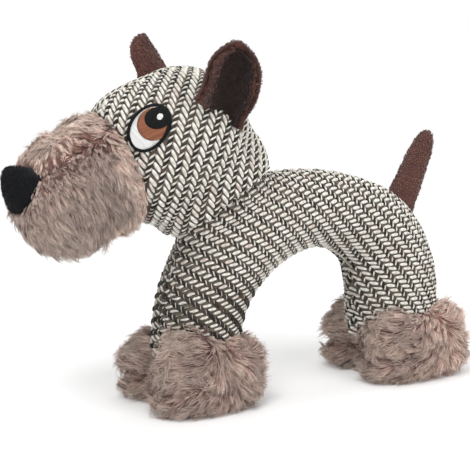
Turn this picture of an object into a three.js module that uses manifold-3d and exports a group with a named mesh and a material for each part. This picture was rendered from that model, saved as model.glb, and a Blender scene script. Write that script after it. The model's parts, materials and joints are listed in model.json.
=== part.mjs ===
// Plush squeaky dog toy: a knitted arch of a body on four fur feet, a knitted head with a fur muzzle,
// plush ears and tail, sewn eyes, and a squeaker in the back's stuffing.
// Millimetres, +Z up. The nose points to -X and the dog's left side faces -Y.
import * as THREE from 'three';
import { mergeVertices } from 'three/addons/utils/BufferGeometryUtils.js';
import loadKernel from 'manifold-3d';

const kernel = await loadKernel();
kernel.setup();

// Fabric and clearances
const CLEARANCE = 0.3;
const KNIT = 2;
const FUR_CLOTH = 3;
const SLIVER = 0.005;
const FAR = 400;
const CUT_THROUGH = 5;

// Body: one stuffed tube that arches from the forelegs to the hind legs
const FORELEG_X = -67;
const FORELEG_RADIUS = 26;
const ELBOW_X = -56;
const ELBOW_Z = 68;
const ELBOW_RADIUS = 27;
const SHOULDER_X = -32;
const SHOULDER_Z = 100.5;
const SHOULDER_RADIUS = 29.5;
const BACK_X = 16;
const BACK_Z = 110;
const BACK_RADIUS = 24.5;
const RUMP_X = 58;
const RUMP_Z = 93;
const RUMP_RADIUS = 27;
const HOCK_X = 74;
const HOCK_Z = 66;
const HOCK_RADIUS = 28;
const HINDLEG_X = 76;
const HINDLEG_RADIUS = 27;
const LEG_END_Z = 36;

// Head: three balls blended into one form, seated on a ball-shaped neck seam
const HEAD_X = -76;
const HEAD_Z = 161;
const SKULL_RADIUS = 41.5;
const HEAD_WIDTH = 0.93;
const BROW_REACH = 22;
const BROW_RADIUS = 42;
const NECK_DROP = 30;
const NECK_RADIUS = 41;
const NECK_WIDTH = 0.78;
const HEAD_BLEND = 6;
const NECK_LEAN = 31;
const SEAT_RADIUS = 46.5;
const SEAT_DROP = 77;
const SEAT_GAP = 0.7;
const WAD_THICKNESS = 5.5;
const WAD_ANGLE = 27;
const WAD_SLACK = 0.5;

// Muzzle: three blended balls in front of a flat seam
const SEAM_REACH = 42;
const SEAM_LEAN = 21;
const CHEEK_FORWARD = 51;
const CHEEK_DROP = 17;
const CHEEK_RADIUS = 33.5;
const BEARD_FORWARD = 71;
const BEARD_DROP = 32;
const BEARD_RADIUS = 34;
const JAW_FORWARD = 42;
const JAW_DROP = 24;
const JAW_RADIUS = 33.5;
const MUZZLE_BLEND = 8;

// Nose pad, seen from the front as a rounded triangle
const NOSE_HALF_WIDTH = 20;
const NOSE_HEIGHT = 28;
const NOSE_TAPER = 0.45;
const NOSE_DOME = 6;
const NOSE_ROOT = 5;
const NOSE_LIFT = 3;

// Eyes: flat embroidery that follows the head
const EYE_TURN = 41.5;
const EYE_LIFT = 14;
const EYE_LONG = 14.6;
const EYE_SHORT = 11;
const EYE_TILT = 45;
const EYE_RIM = 2;
const EYE_THREAD = 1.1;
const IRIS_RADIUS = 8.9;
const IRIS_X = 2.8;
const IRIS_Y = 1.1;
const PUPIL_RADIUS = 6.9;
const PUPIL_X = 5;
const PUPIL_Y = 5;
const GLINT_RADIUS = 1.9;
const GLINT_X = 6.4;
const GLINT_Y = 5.8;

// Feet
const FOOT_LENGTH = 76;
const FOOT_WIDTH = 40;
const FOOT_TOP = 47;
const FOOT_BELLY_Z = 21;
const FOOT_GAP = 0.8;
const FOOT_SQUARENESS = 2.7;
const FORE_TOE = 5;
const HIND_TOE = 0;

// Ears
const EAR_TURN = 112;
const EAR_LIFT = 30;
const EAR_LENGTH = 44.5;
const EAR_HALF_WIDTH = 15.5;
const EAR_BASE_SHARE = 0.72;
const EAR_CUP = 9;
const EAR_LAYER = 2.2;
const EAR_SINK = 10;
const EAR_BASE_SLOPE = 45;
const EAR_BASE_OUT = 8;
const LEFT_EAR_SPLAY = 25;
const LEFT_EAR_FORWARD = -3;
const RIGHT_EAR_SPLAY = 29;
const RIGHT_EAR_FORWARD = 13;
const EAR_FOLD = 18;

// Tail
const TAIL_STATION = 0.69;
const TAIL_LEAN = 25;
const TAIL_LENGTH = 46;
const TAIL_SINK = 4;
const TAIL_ROOT_HALF = 8.6;
const TAIL_TIP_HALF = 4.2;
const TAIL_FLATNESS = 0.72;
const TAIL_PANEL = 1.6;
const TAIL_WAG = 25;

// Squeaker
const BULB_RADIUS = 15;
const BULB_WALL = 1.4;
const REED_TUBE_RADIUS = 4.5;
const REED_TUBE_WALL = 1;
const REED_TUBE_LENGTH = 9;
const REED_FLANGE = 1.4;
const REED_THICKNESS = 0.5;

// Facets
const TUBE_SIDES = 20;
const TUBE_RINGS = 24;
const LINING_SIDES = 12;
const HEAD_FACETS = [26, 17];
const MUZZLE_FACETS = [24, 15];
const LINING_FACETS = [16, 9];
const FOOT_FACETS = [16, 9];
const SEAT_FACETS = [28, 17];
const WAD_SIDES = 36;
const BULB_FACETS = [16, 10];
const REED_SIDES = 20;
const NOSE_SIDES = 24;
const EYE_CURVE = 8;
const EAR_COLUMNS = 8;
const EAR_ROWS = 9;
const TAIL_SIDES = 16;
const TAIL_RINGS = 10;

const rad = THREE.MathUtils.degToRad;
const LATERAL = new THREE.Vector3(0, 1, 0);

// Kernel solids from three.js geometry

function solid(geometry) {
  const bare = new THREE.BufferGeometry();
  bare.setAttribute('position', geometry.getAttribute('position'));
  bare.setIndex(geometry.index);
  const merged = mergeVertices(bare, 1e-4);
  const corners = merged.index.array;
  const kept = [];
  for (let i = 0; i < corners.length; i += 3) {
    const [a, b, c] = corners.slice(i, i + 3);
    if (a !== b && b !== c && c !== a) kept.push(a, b, c);
  }
  return new kernel.Manifold(
    new kernel.Mesh({
      numProp: 3,
      vertProperties: new Float32Array(merged.getAttribute('position').array),
      triVerts: new Uint32Array(kept),
    }),
  );
}

function geometryOf(shape) {
  const mesh = shape.getMesh();
  const geometry = new THREE.BufferGeometry();
  const places = [];
  for (let i = 0; i < mesh.numVert; i += 1) {
    places.push(...mesh.vertProperties.slice(i * mesh.numProp, i * mesh.numProp + 3));
  }
  geometry.setAttribute('position', new THREE.Float32BufferAttribute(places, 3));
  geometry.setIndex(Array.from(mesh.triVerts));
  geometry.computeVertexNormals();
  return geometry;
}

function moved(shape, matrix) {
  return shape.transform(matrix.toArray());
}

function turnAbout(point, axis, degrees) {
  return new THREE.Matrix4()
    .makeTranslation(point)
    .multiply(new THREE.Matrix4().makeRotationAxis(axis, rad(degrees)))
    .multiply(new THREE.Matrix4().makeTranslation(point.clone().negate()));
}

function mirrored(shape) {
  return moved(shape, new THREE.Matrix4().makeScale(1, -1, 1));
}

// The half of space on the side of a plane that its normal points to
function halfSpace(point, normal) {
  const block = new THREE.BoxGeometry(FAR, FAR, FAR).translate(0, 0, FAR / 2);
  const turn = new THREE.Quaternion().setFromUnitVectors(new THREE.Vector3(0, 0, 1), normal);
  block.applyQuaternion(turn).translate(point.x, point.y, point.z);
  return solid(block);
}

// A form made alike on both sides of the middle plane
function symmetric(shape) {
  const left = shape.intersect(halfSpace(new THREE.Vector3(), new THREE.Vector3(0, -1, 0)));
  return left.add(mirrored(left));
}

function ball(centre, radius) {
  const sphere = new THREE.SphereGeometry(radius, ...SEAT_FACETS);
  return symmetric(solid(sphere.translate(centre.x, centre.y, centre.z)));
}

// A closed skin over rings of equal count, capped flat at both ends
function loft(rings) {
  const count = rings[0].length;
  const places = rings.flat();
  const corners = [];
  for (let r = 0; r + 1 < rings.length; r += 1) {
    for (let i = 0; i < count; i += 1) {
      const a = r * count + i;
      const b = r * count + ((i + 1) % count);
      corners.push(a, b, a + count, b, b + count, a + count);
    }
  }
  const middle = (ring) => ring.reduce((sum, p) => sum.add(p), new THREE.Vector3()).divideScalar(count);
  const first = places.length;
  places.push(middle(rings[0]), middle(rings[rings.length - 1]));
  const top = (rings.length - 1) * count;
  for (let i = 0; i < count; i += 1) {
    const next = (i + 1) % count;
    corners.push(first, next, i);
    corners.push(first + 1, top + i, top + next);
  }
  const geometry = new THREE.BufferGeometry().setFromPoints(places);
  geometry.setIndex(corners);
  return solid(geometry);
}

// A skin at reach(direction) from a centre
function blob(centre, reach, facets) {
  const sphere = new THREE.SphereGeometry(1, ...facets);
  const place = sphere.getAttribute('position');
  const direction = new THREE.Vector3();
  for (let i = 0; i < place.count; i += 1) {
    direction.fromBufferAttribute(place, i).normalize();
    const point = direction.clone().multiplyScalar(reach(direction)).add(centre);
    place.setXYZ(i, point.x, point.y, point.z);
  }
  return solid(sphere);
}

// How far a ball set off from the centre, and scaled in width, reaches along a direction
function ballReach(direction, offset, radius, width) {
  const d = new THREE.Vector3(direction.x, direction.y / width, direction.z);
  const along = d.dot(offset);
  const square = d.lengthSq();
  return (along + Math.sqrt(along * along - square * (offset.lengthSq() - radius * radius))) / square;
}

function blendMax(a, b, blend) {
  const near = Math.max(blend - Math.abs(a - b), 0);
  return Math.max(a, b) + (near * near) / (4 * blend);
}

// Body form

const archPath = new THREE.CatmullRomCurve3(
  [
    [FORELEG_X, FORELEG_RADIUS, LEG_END_Z],
    [ELBOW_X, ELBOW_RADIUS, ELBOW_Z],
    [SHOULDER_X, SHOULDER_RADIUS, SHOULDER_Z],
    [BACK_X, BACK_RADIUS, BACK_Z],
    [RUMP_X, RUMP_RADIUS, RUMP_Z],
    [HOCK_X, HOCK_RADIUS, HOCK_Z],
    [HINDLEG_X, HINDLEG_RADIUS, LEG_END_Z],
  ].map((p) => new THREE.Vector3(...p)),
  false,
  'centripetal',
);

// Centre, radius, heading and outward normal of the arch at a station from 0 to 1
function archAt(station) {
  const here = archPath.getPoint(station);
  const before = archPath.getPoint(Math.max(station - 0.005, 0));
  const after = archPath.getPoint(Math.min(station + 0.005, 1));
  const heading = new THREE.Vector3(after.x - before.x, 0, after.z - before.z).normalize();
  return {
    centre: new THREE.Vector3(here.x, 0, here.z),
    radius: here.y,
    heading,
    outward: new THREE.Vector3(-heading.z, 0, heading.x),
  };
}

function archTube(from, to, grow, sides, ends = 0) {
  const count = Math.max(3, Math.round((to - from) * TUBE_RINGS));
  const rings = [];
  for (let r = 0; r <= count; r += 1) {
    const place = archAt(from + ((to - from) * r) / count);
    const slide = r === 0 ? -ends : r === count ? ends : 0;
    const middle = place.centre.clone().addScaledVector(place.heading, slide);
    const ring = [];
    for (let i = 0; i < sides; i += 1) {
      const angle = (2 * Math.PI * (i + 0.5)) / sides;
      const radius = place.radius + grow;
      ring.push(
        middle
          .clone()
          .addScaledVector(place.outward, radius * Math.cos(angle))
          .addScaledVector(LATERAL, -radius * Math.sin(angle)),
      );
    }
    rings.push(ring);
  }
  return symmetric(loft(rings));
}

// Head form

const headCentre = new THREE.Vector3(HEAD_X, 0, HEAD_Z);
const neckUp = new THREE.Vector3(-Math.sin(rad(NECK_LEAN)), 0, Math.cos(rad(NECK_LEAN)));
const seatCentre = headCentre.clone().addScaledVector(neckUp, -SEAT_DROP);
const seamFacing = new THREE.Vector3(-Math.cos(rad(SEAM_LEAN)), 0, -Math.sin(rad(SEAM_LEAN)));
const seamCentre = headCentre.clone().addScaledVector(seamFacing, SEAM_REACH);
const browOffset = seamFacing.clone().multiplyScalar(BROW_REACH);
const neckOffset = neckUp.clone().multiplyScalar(-NECK_DROP);

function headReach(direction) {
  const skull = ballReach(direction, new THREE.Vector3(), SKULL_RADIUS, HEAD_WIDTH);
  const brow = ballReach(direction, browOffset, BROW_RADIUS, HEAD_WIDTH);
  const neck = ballReach(direction, neckOffset, NECK_RADIUS, NECK_WIDTH);
  return blendMax(blendMax(skull, brow, HEAD_BLEND), neck, HEAD_BLEND);
}

function headForm(grow, facets = HEAD_FACETS) {
  return symmetric(blob(headCentre, (direction) => headReach(direction) + grow, facets));
}

// Muzzle form

const cheekCentre = new THREE.Vector3(HEAD_X - CHEEK_FORWARD, 0, HEAD_Z - CHEEK_DROP);
const beardCentre = new THREE.Vector3(HEAD_X - BEARD_FORWARD, 0, HEAD_Z - BEARD_DROP);
const jawCentre = new THREE.Vector3(HEAD_X - JAW_FORWARD, 0, HEAD_Z - JAW_DROP);
const muzzleCentre = cheekCentre.clone().lerp(beardCentre, 0.5);

function muzzleReach(direction) {
  const balls = [
    [cheekCentre, CHEEK_RADIUS],
    [beardCentre, BEARD_RADIUS],
    [jawCentre, JAW_RADIUS],
  ];
  const reaches = balls.map(([centre, radius]) => {
    return ballReach(direction, centre.clone().sub(muzzleCentre), radius, 1);
  });
  return reaches.reduce((most, reach) => blendMax(most, reach, MUZZLE_BLEND));
}

function muzzleForm(grow, facets = MUZZLE_FACETS) {
  return symmetric(blob(muzzleCentre, (direction) => muzzleReach(direction) + grow, facets));
}

// The toy is put together in nested groups, one for each part that moves by itself

const toy = new THREE.Group();
const materials = {
  knit: [0xb9b2a4, 0.9],
  fur: [0xa68d82, 0.95],
  plush: [0x5a3a30, 0.92],
  lining: [0x33211d, 0.92],
  felt: [0x1b1d20, 0.8],
  blackThread: [0x14161a, 0.6],
  whiteThread: [0xf0eeea, 0.6],
  brownThread: [0x93522f, 0.6],
  stuffing: [0xf2f0ea, 1],
  vinyl: [0xd8dde0, 0.4],
  reed: [0xe9e3d2, 0.45],
};

// The one body of a cut shape, without the slivers a cut can leave
function whole(shape) {
  const bodies = shape.simplify(SLIVER).decompose();
  return bodies.reduce((most, body) => (body.volume() > most.volume() ? body : most));
}

function add(name, shape, finish) {
  const [color, roughness] = materials[finish];
  const material = new THREE.MeshStandardMaterial({ color, roughness, metalness: 0 });
  const mesh = new THREE.Mesh(geometryOf(whole(shape)), material);
  mesh.name = name;
  toy.add(mesh);
}

function addHalves(left, right, shape, finish) {
  const toLeft = new THREE.Vector3(0, -1, 0);
  const edge = toLeft.clone().multiplyScalar(CLEARANCE / 2);
  const half = shape.intersect(halfSpace(edge, toLeft));
  add(left, half, finish);
  add(right, mirrored(half), finish);
}

// Body cover and its stuffing

const seatInside = ball(seatCentre, SEAT_RADIUS - SEAT_GAP);
const seat = ball(seatCentre, SEAT_RADIUS);
const lining = -KNIT;
const wadding = -KNIT - CLEARANCE;
const bodySkin = archTube(0, 1, 0, TUBE_SIDES).add(headForm(0).intersect(seatInside));
const bodyHollow = archTube(0, 1, lining, LINING_SIDES, CUT_THROUGH).add(
  headForm(lining, LINING_FACETS).intersect(seat),
);
addHalves('body_cover_left', 'body_cover_right', bodySkin.subtract(bodyHollow), 'knit');

// Wads of stuffing meet face to face at these stations of the arch
const stations = [0, 0.2, 0.455, 0.55, 0.655, 0.78, 1];

function after(station) {
  const place = archAt(station);
  return halfSpace(place.centre.addScaledVector(place.heading, CLEARANCE / 2), place.heading);
}

function before(station) {
  const place = archAt(station);
  return halfSpace(place.centre.addScaledVector(place.heading, -CLEARANCE / 2), place.heading.negate());
}

function wadBetween(index, stuffing) {
  const fromHere = index > 0 ? stuffing.intersect(after(stations[index])) : stuffing;
  return index + 2 < stations.length ? fromHere.intersect(before(stations[index + 1])) : fromHere;
}

// A cone of the neck's axis, opening upward from the middle of the seat
function wadSector(halfAngle) {
  const height = 2 * SEAT_RADIUS;
  const upright = new THREE.Quaternion().setFromUnitVectors(new THREE.Vector3(0, 0, 1), neckUp);
  const cone = new THREE.ConeGeometry(height * Math.tan(rad(halfAngle)), height, WAD_SIDES)
    .translate(0, -height / 2, 0)
    .rotateX(-Math.PI / 2)
    .applyQuaternion(upright);
  return solid(cone.translate(seatCentre.x, seatCentre.y, seatCentre.z));
}

const wadRecess = wadSector(WAD_ANGLE + WAD_SLACK).subtract(
  ball(seatCentre, SEAT_RADIUS - WAD_THICKNESS - SEAT_GAP),
);

const bodyWad = archTube(0, 1, wadding, LINING_SIDES);
const neckPlug = headForm(wadding, LINING_FACETS).intersect(seatInside);
const shoulder = wadBetween(1, bodyWad.add(neckPlug)).subtract(wadRecess);

function bulbBall(grow) {
  return solid(new THREE.SphereGeometry(BULB_RADIUS + grow, ...BULB_FACETS).rotateX(Math.PI / 2));
}

const bulbPlace = archAt(stations[3]);
const pocket = moved(bulbBall(CLEARANCE), new THREE.Matrix4().makeTranslation(bulbPlace.centre));
add('foreleg_filling', wadBetween(0, bodyWad), 'stuffing');
add('shoulder_filling', shoulder, 'stuffing');
add('back_filling_front', wadBetween(2, bodyWad).subtract(pocket), 'stuffing');
add('back_filling_rear', wadBetween(3, bodyWad).subtract(pocket), 'stuffing');
add('rump_filling', wadBetween(4, bodyWad), 'stuffing');
add('hindleg_filling', wadBetween(5, bodyWad), 'stuffing');

// Squeaker: a soft bulb that breathes through a reed tube in its side

function lathe(profile) {
  const points = profile.map(([radius, height]) => new THREE.Vector2(radius, height));
  return solid(new THREE.LatheGeometry(points, REED_SIDES).rotateX(Math.PI / 2));
}

function ring(outer, inner, from, to) {
  return lathe([[inner, from], [outer, from], [outer, to], [inner, to], [inner, from]]);
}

const tubeHole = REED_TUBE_RADIUS + CLEARANCE;
const tubeTop = Math.sqrt(BULB_RADIUS ** 2 - tubeHole ** 2) - REED_FLANGE;
const bulb = bulbBall(0)
  .subtract(bulbBall(-BULB_WALL))
  .subtract(lathe([[0, 0], [tubeHole, 0], [tubeHole, FAR], [0, FAR]]));
const reedTube = ring(
  REED_TUBE_RADIUS,
  REED_TUBE_RADIUS - REED_TUBE_WALL,
  tubeTop - REED_TUBE_LENGTH,
  tubeTop,
);
const reedSlot = new THREE.BoxGeometry(
  2 * REED_TUBE_RADIUS,
  REED_THICKNESS + 2 * CLEARANCE,
  REED_TUBE_LENGTH,
).translate(0, 0, tubeTop - REED_TUBE_LENGTH);
const reedBlade = new THREE.BoxGeometry(
  2 * REED_TUBE_RADIUS,
  REED_THICKNESS,
  REED_TUBE_LENGTH / 2 - CLEARANCE,
).translate(0, 0, tubeTop - REED_TUBE_LENGTH * 0.75 - CLEARANCE / 2);
const bulbTurn = new THREE.Matrix4()
  .makeTranslation(bulbPlace.centre)
  .multiply(new THREE.Matrix4().makeRotationX(Math.PI));
add('squeaker_bulb', moved(bulb, bulbTurn), 'vinyl');
add('squeaker_reed_tube', moved(reedTube.subtract(solid(reedSlot)), bulbTurn), 'vinyl');
add('squeaker_reed', moved(solid(reedBlade), bulbTurn), 'reed');

// Feet: fur boots that the leg ends are sewn into

function footForm(centre, grow) {
  const half = [FOOT_LENGTH / 2 + grow, FOOT_WIDTH / 2 + grow, FOOT_TOP - FOOT_BELLY_Z + grow];
  const reach = (d) => {
    const share = [d.x, d.y, d.z].map((v, i) => Math.abs(v / half[i]) ** FOOT_SQUARENESS);
    return (share[0] + share[1] + share[2]) ** (-1 / FOOT_SQUARENESS);
  };
  const floor = new THREE.Vector3(0, 0, -grow);
  return blob(centre, reach, FOOT_FACETS).intersect(halfSpace(floor, new THREE.Vector3(0, 0, 1)));
}

const legRoom = archTube(0, 1, CLEARANCE, TUBE_SIDES, CLEARANCE);
for (const [pair, legX, toe] of [
  ['front', FORELEG_X, FORE_TOE],
  ['hind', HINDLEG_X, HIND_TOE],
]) {
  for (const [side, sign] of [['left', -1], ['right', 1]]) {
    const lateral = sign * (FOOT_WIDTH / 2 + FOOT_GAP / 2);
    const centre = new THREE.Vector3(legX - toe, lateral, FOOT_BELLY_Z);
    const boot = footForm(centre, 0).subtract(footForm(centre, -FUR_CLOTH)).subtract(legRoom);
    const stuffing = footForm(centre, -FUR_CLOTH - CLEARANCE).subtract(legRoom);
    add(`${pair}_${side}_foot`, boot, 'fur');
    add(`${pair}_${side}_foot_filling`, stuffing, 'stuffing');
  }
}

// Neck wad, the layer that the head turns with and nods on

const wad = wadSector(WAD_ANGLE)
  .intersect(ball(seatCentre, SEAT_RADIUS - SEAT_GAP))
  .subtract(ball(seatCentre, SEAT_RADIUS - WAD_THICKNESS));
add('neck_wad', wad, 'stuffing');

// Head and muzzle

const behindSeam = halfSpace(
  seamCentre.clone().addScaledVector(seamFacing, -CLEARANCE / 2),
  seamFacing.clone().negate(),
);
const beforeSeam = halfSpace(seamCentre.clone().addScaledVector(seamFacing, CLEARANCE / 2), seamFacing);
const headSkin = headForm(0).subtract(seat).intersect(behindSeam);
const headHollow = headForm(lining, LINING_FACETS);
addHalves('head_cover_left', 'head_cover_right', headSkin.subtract(headHollow), 'knit');
const headWad = headForm(wadding, LINING_FACETS).subtract(seat).intersect(behindSeam);
add('head_filling', headWad, 'stuffing');

const muzzleHollow = muzzleForm(-FUR_CLOTH, LINING_FACETS);
add('muzzle_cover', muzzleForm(0).subtract(muzzleHollow).intersect(beforeSeam), 'fur');
add('muzzle_filling', muzzleForm(-FUR_CLOTH - CLEARANCE, LINING_FACETS).intersect(beforeSeam), 'stuffing');

// Nose: a domed felt pad on the front of the muzzle

function facing(turn, lift) {
  return new THREE.Vector3(
    -Math.cos(rad(turn)) * Math.cos(rad(lift)),
    -Math.sin(rad(turn)) * Math.cos(rad(lift)),
    Math.sin(rad(lift)),
  );
}

// Local axes on a form: x toward the tail as seen from the left, y up, z out
function tangentFrame(centre, out) {
  const across = new THREE.Vector3(0, 0, 1).cross(out).normalize();
  const up = out.clone().cross(across);
  return new THREE.Matrix4().makeBasis(across, up, out).setPosition(centre);
}

function noseOutline(count) {
  const outline = [];
  for (let i = 0; i < count; i += 1) {
    const angle = (2 * Math.PI * i) / count;
    const drop = (1 - Math.sin(angle)) / 2;
    const width = NOSE_HALF_WIDTH * (1 - NOSE_TAPER * drop);
    outline.push(new THREE.Vector2(width * Math.cos(angle), (NOSE_HEIGHT / 2) * Math.sin(angle)));
  }
  return outline;
}

const noseOut = facing(0, NOSE_LIFT);
const noseSeat = muzzleCentre.clone().addScaledVector(noseOut, muzzleReach(noseOut));
const noseFrame = tangentFrame(noseSeat, noseOut);
const noseRings = [
  [1, -NOSE_ROOT],
  [1, 0],
  [0.94, NOSE_DOME * 0.45],
  [0.75, NOSE_DOME * 0.8],
  [0.42, NOSE_DOME],
].map(([scale, height]) => {
  const lifted = (p) => new THREE.Vector3(p.x * scale, p.y * scale, height);
  return noseOutline(NOSE_SIDES).map((p) => lifted(p).applyMatrix4(noseFrame));
});
add('nose', loft(noseRings).subtract(muzzleForm(CLEARANCE)), 'felt');

// Eyes: rim, white, iris, pupil and glint, inlaid edge to edge

const eyeOut = facing(EYE_TURN, EYE_LIFT);
const eyeSeat = headCentre.clone().addScaledVector(eyeOut, headReach(eyeOut));
const eyeFrame = tangentFrame(eyeSeat, eyeOut);
const eyeLayer = headForm(CLEARANCE + EYE_THREAD).subtract(headForm(CLEARANCE));

function eyePrism(x, y, long, short, tilt) {
  const outline = new THREE.Shape().absellipse(x, y, long, short, 0, 2 * Math.PI, false, tilt);
  const depth = SKULL_RADIUS;
  const prism = new THREE.ExtrudeGeometry(outline, { depth, bevelEnabled: false, curveSegments: EYE_CURVE });
  return solid(prism.translate(0, 0, -depth / 2).applyMatrix4(eyeFrame));
}

const eyeOutline = eyePrism(0, 0, EYE_LONG, EYE_SHORT, rad(EYE_TILT));
const eyeInner = eyePrism(0, 0, EYE_LONG - EYE_RIM, EYE_SHORT - EYE_RIM, rad(EYE_TILT));
const eyeField = eyePrism(
  0,
  0,
  EYE_LONG - EYE_RIM - CLEARANCE,
  EYE_SHORT - EYE_RIM - CLEARANCE,
  rad(EYE_TILT),
);
const disc = (x, y, radius) => eyePrism(x, y, radius, radius, 0);
const eyePieces = {
  rim: [eyeOutline.subtract(eyeInner), 'blackThread'],
  white: [
    eyeField
      .subtract(disc(IRIS_X, IRIS_Y, IRIS_RADIUS + CLEARANCE))
      .subtract(disc(PUPIL_X, PUPIL_Y, PUPIL_RADIUS + CLEARANCE)),
    'whiteThread',
  ],
  iris: [
    eyeField
      .intersect(disc(IRIS_X, IRIS_Y, IRIS_RADIUS))
      .subtract(disc(PUPIL_X, PUPIL_Y, PUPIL_RADIUS + CLEARANCE)),
    'brownThread',
  ],
  pupil: [
    eyeField
      .intersect(disc(PUPIL_X, PUPIL_Y, PUPIL_RADIUS))
      .subtract(disc(GLINT_X, GLINT_Y, GLINT_RADIUS + CLEARANCE)),
    'blackThread',
  ],
  glint: [disc(GLINT_X, GLINT_Y, GLINT_RADIUS), 'whiteThread'],
};
for (const [piece, [prism, finish]] of Object.entries(eyePieces)) {
  const plate = prism.intersect(eyeLayer);
  add(`left_eye_${piece}`, plate, finish);
  add(`right_eye_${piece}`, mirrored(plate), finish);
}

// Ears: a cupped back and lining, sewn in at the base. Both are made on the left, and one is mirrored

const earOut = facing(EAR_TURN, EAR_LIFT);
const earSeat = headCentre.clone().addScaledVector(earOut, headReach(earOut));

// The base runs down toward the tail along the head, and the ear rises from it
const earBase = facing(180 - EAR_BASE_OUT, 0)
  .multiplyScalar(Math.cos(rad(EAR_BASE_SLOPE)))
  .setZ(-Math.sin(rad(EAR_BASE_SLOPE)));

function earAxes(splay, forward) {
  const rise = new THREE.Vector3(-Math.tan(rad(forward)), -Math.sin(rad(splay)), Math.cos(rad(splay)));
  rise.normalize();
  const chord = earBase.clone().projectOnPlane(rise).normalize();
  return { rise, chord, face: chord.clone().cross(rise) };
}

// Half width of the ear at a share of its length
function earHalfWidth(share) {
  const tip = Math.sqrt(Math.max(1 - share ** 4, 0));
  const swell = EAR_BASE_SHARE + (1 - EAR_BASE_SHARE) * Math.sin(Math.min(share / 0.5, 1) * (Math.PI / 2));
  return EAR_HALF_WIDTH * swell * tip;
}

function earSlab(axes, from, to) {
  const frame = new THREE.Matrix4().makeBasis(axes.chord, axes.rise, axes.face).setPosition(earSeat);
  const place = (column, row, depth) => {
    const share = Math.min(Math.sin(((row / EAR_ROWS) * Math.PI) / 2), 0.998);
    const across = (2 * column) / EAR_COLUMNS - 1;
    const half = earHalfWidth(share);
    const curl = EAR_CUP * across * across * (half / EAR_HALF_WIDTH);
    return new THREE.Vector3(across * half, share * (EAR_LENGTH + EAR_SINK) - EAR_SINK, curl + depth);
  };
  const rings = [];
  for (let row = 0; row <= EAR_ROWS; row += 1) {
    const ringPoints = [];
    for (let column = 0; column <= EAR_COLUMNS; column += 1) ringPoints.push(place(column, row, to));
    for (let column = EAR_COLUMNS; column >= 0; column -= 1) ringPoints.push(place(column, row, from));
    rings.push(ringPoints.map((p) => p.applyMatrix4(frame)));
  }
  return loft(rings);
}

// A piece sewn to a form, cut clear of it at both ends of its swing
function clearOf(shape, form, point, axis, swing) {
  return [-swing, 0, swing].reduce(
    (left, angle) => left.subtract(moved(form, turnAbout(point, axis, angle))),
    shape,
  );
}

const headClear = headForm(CLEARANCE);
const leftEar = earAxes(LEFT_EAR_SPLAY, LEFT_EAR_FORWARD);
const rightEar = earAxes(RIGHT_EAR_SPLAY, RIGHT_EAR_FORWARD);
for (const [piece, from, to, finish] of [
  ['back', -EAR_LAYER - CLEARANCE, -CLEARANCE, 'plush'],
  ['lining', CLEARANCE, EAR_LAYER + CLEARANCE, 'lining'],
]) {
  const layer = (axes) => clearOf(earSlab(axes, from, to), headClear, earSeat, axes.chord, EAR_FOLD);
  add(`left_ear_${piece}`, layer(leftEar), finish);
  add(`right_ear_${piece}`, mirrored(layer(rightEar)), finish);
}

// Tail: two panels around a filling, sewn into the back seam

const tailRoot = archAt(TAIL_STATION);
const tailSeat = tailRoot.centre.clone().addScaledVector(tailRoot.outward, tailRoot.radius);
const tailRise = new THREE.Vector3(Math.sin(rad(TAIL_LEAN)), 0, Math.cos(rad(TAIL_LEAN)));
const tailHinge = LATERAL.clone().cross(tailRise);

function tailForm(grow) {
  const rings = [];
  for (let r = 0; r <= TAIL_RINGS; r += 1) {
    const share = r / TAIL_RINGS;
    const half = TAIL_ROOT_HALF + (TAIL_TIP_HALF - TAIL_ROOT_HALF) * share;
    const end = Math.sqrt(1 - Math.max((share - 0.9) / 0.1, 0) ** 2 * 0.6);
    const height = -TAIL_SINK + (TAIL_LENGTH + TAIL_SINK + grow) * share;
    const ringPoints = [];
    for (let i = 0; i < TAIL_SIDES; i += 1) {
      const angle = (2 * Math.PI * i) / TAIL_SIDES;
      const reach = half * end + grow;
      ringPoints.push(
        tailSeat
          .clone()
          .addScaledVector(tailRise, height)
          .addScaledVector(tailHinge, reach * Math.cos(angle))
          .addScaledVector(LATERAL, (half * end * TAIL_FLATNESS + grow) * Math.sin(angle)),
      );
    }
    rings.push(ringPoints);
  }
  return loft(rings);
}

const rumpClear = archTube(stations[3], stations[5], CLEARANCE, TUBE_SIDES);
const tailSkin = clearOf(tailForm(0), rumpClear, tailSeat, tailHinge, TAIL_WAG);
const tailWad = clearOf(tailForm(-TAIL_PANEL - CLEARANCE), rumpClear, tailSeat, tailHinge, TAIL_WAG);
addHalves('tail_panel_left', 'tail_panel_right', tailSkin.subtract(tailForm(-TAIL_PANEL)), 'plush');
add('tail_filling', tailWad, 'stuffing');

// The origin is under the middle of the toy's box
const bounds = new THREE.Box3().setFromObject(toy);
toy.position.set(-(bounds.min.x + bounds.max.x) / 2, 0, -bounds.min.z);

export default toy;
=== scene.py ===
"""Stuffed toy dog with a squeaker: knitted body and head, fur muzzle and feet, plush ears and tail.

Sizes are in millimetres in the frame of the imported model: the nose points to -X, the dog's left side
to -Y, and the feet stand on z = 0. Meshes are made in metres.
"""

import json
import math
from collections import namedtuple

import bmesh
import bpy
import numpy as np
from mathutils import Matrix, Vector, noise
from mathutils.bvhtree import BVHTree
from mathutils.kdtree import KDTree


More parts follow.
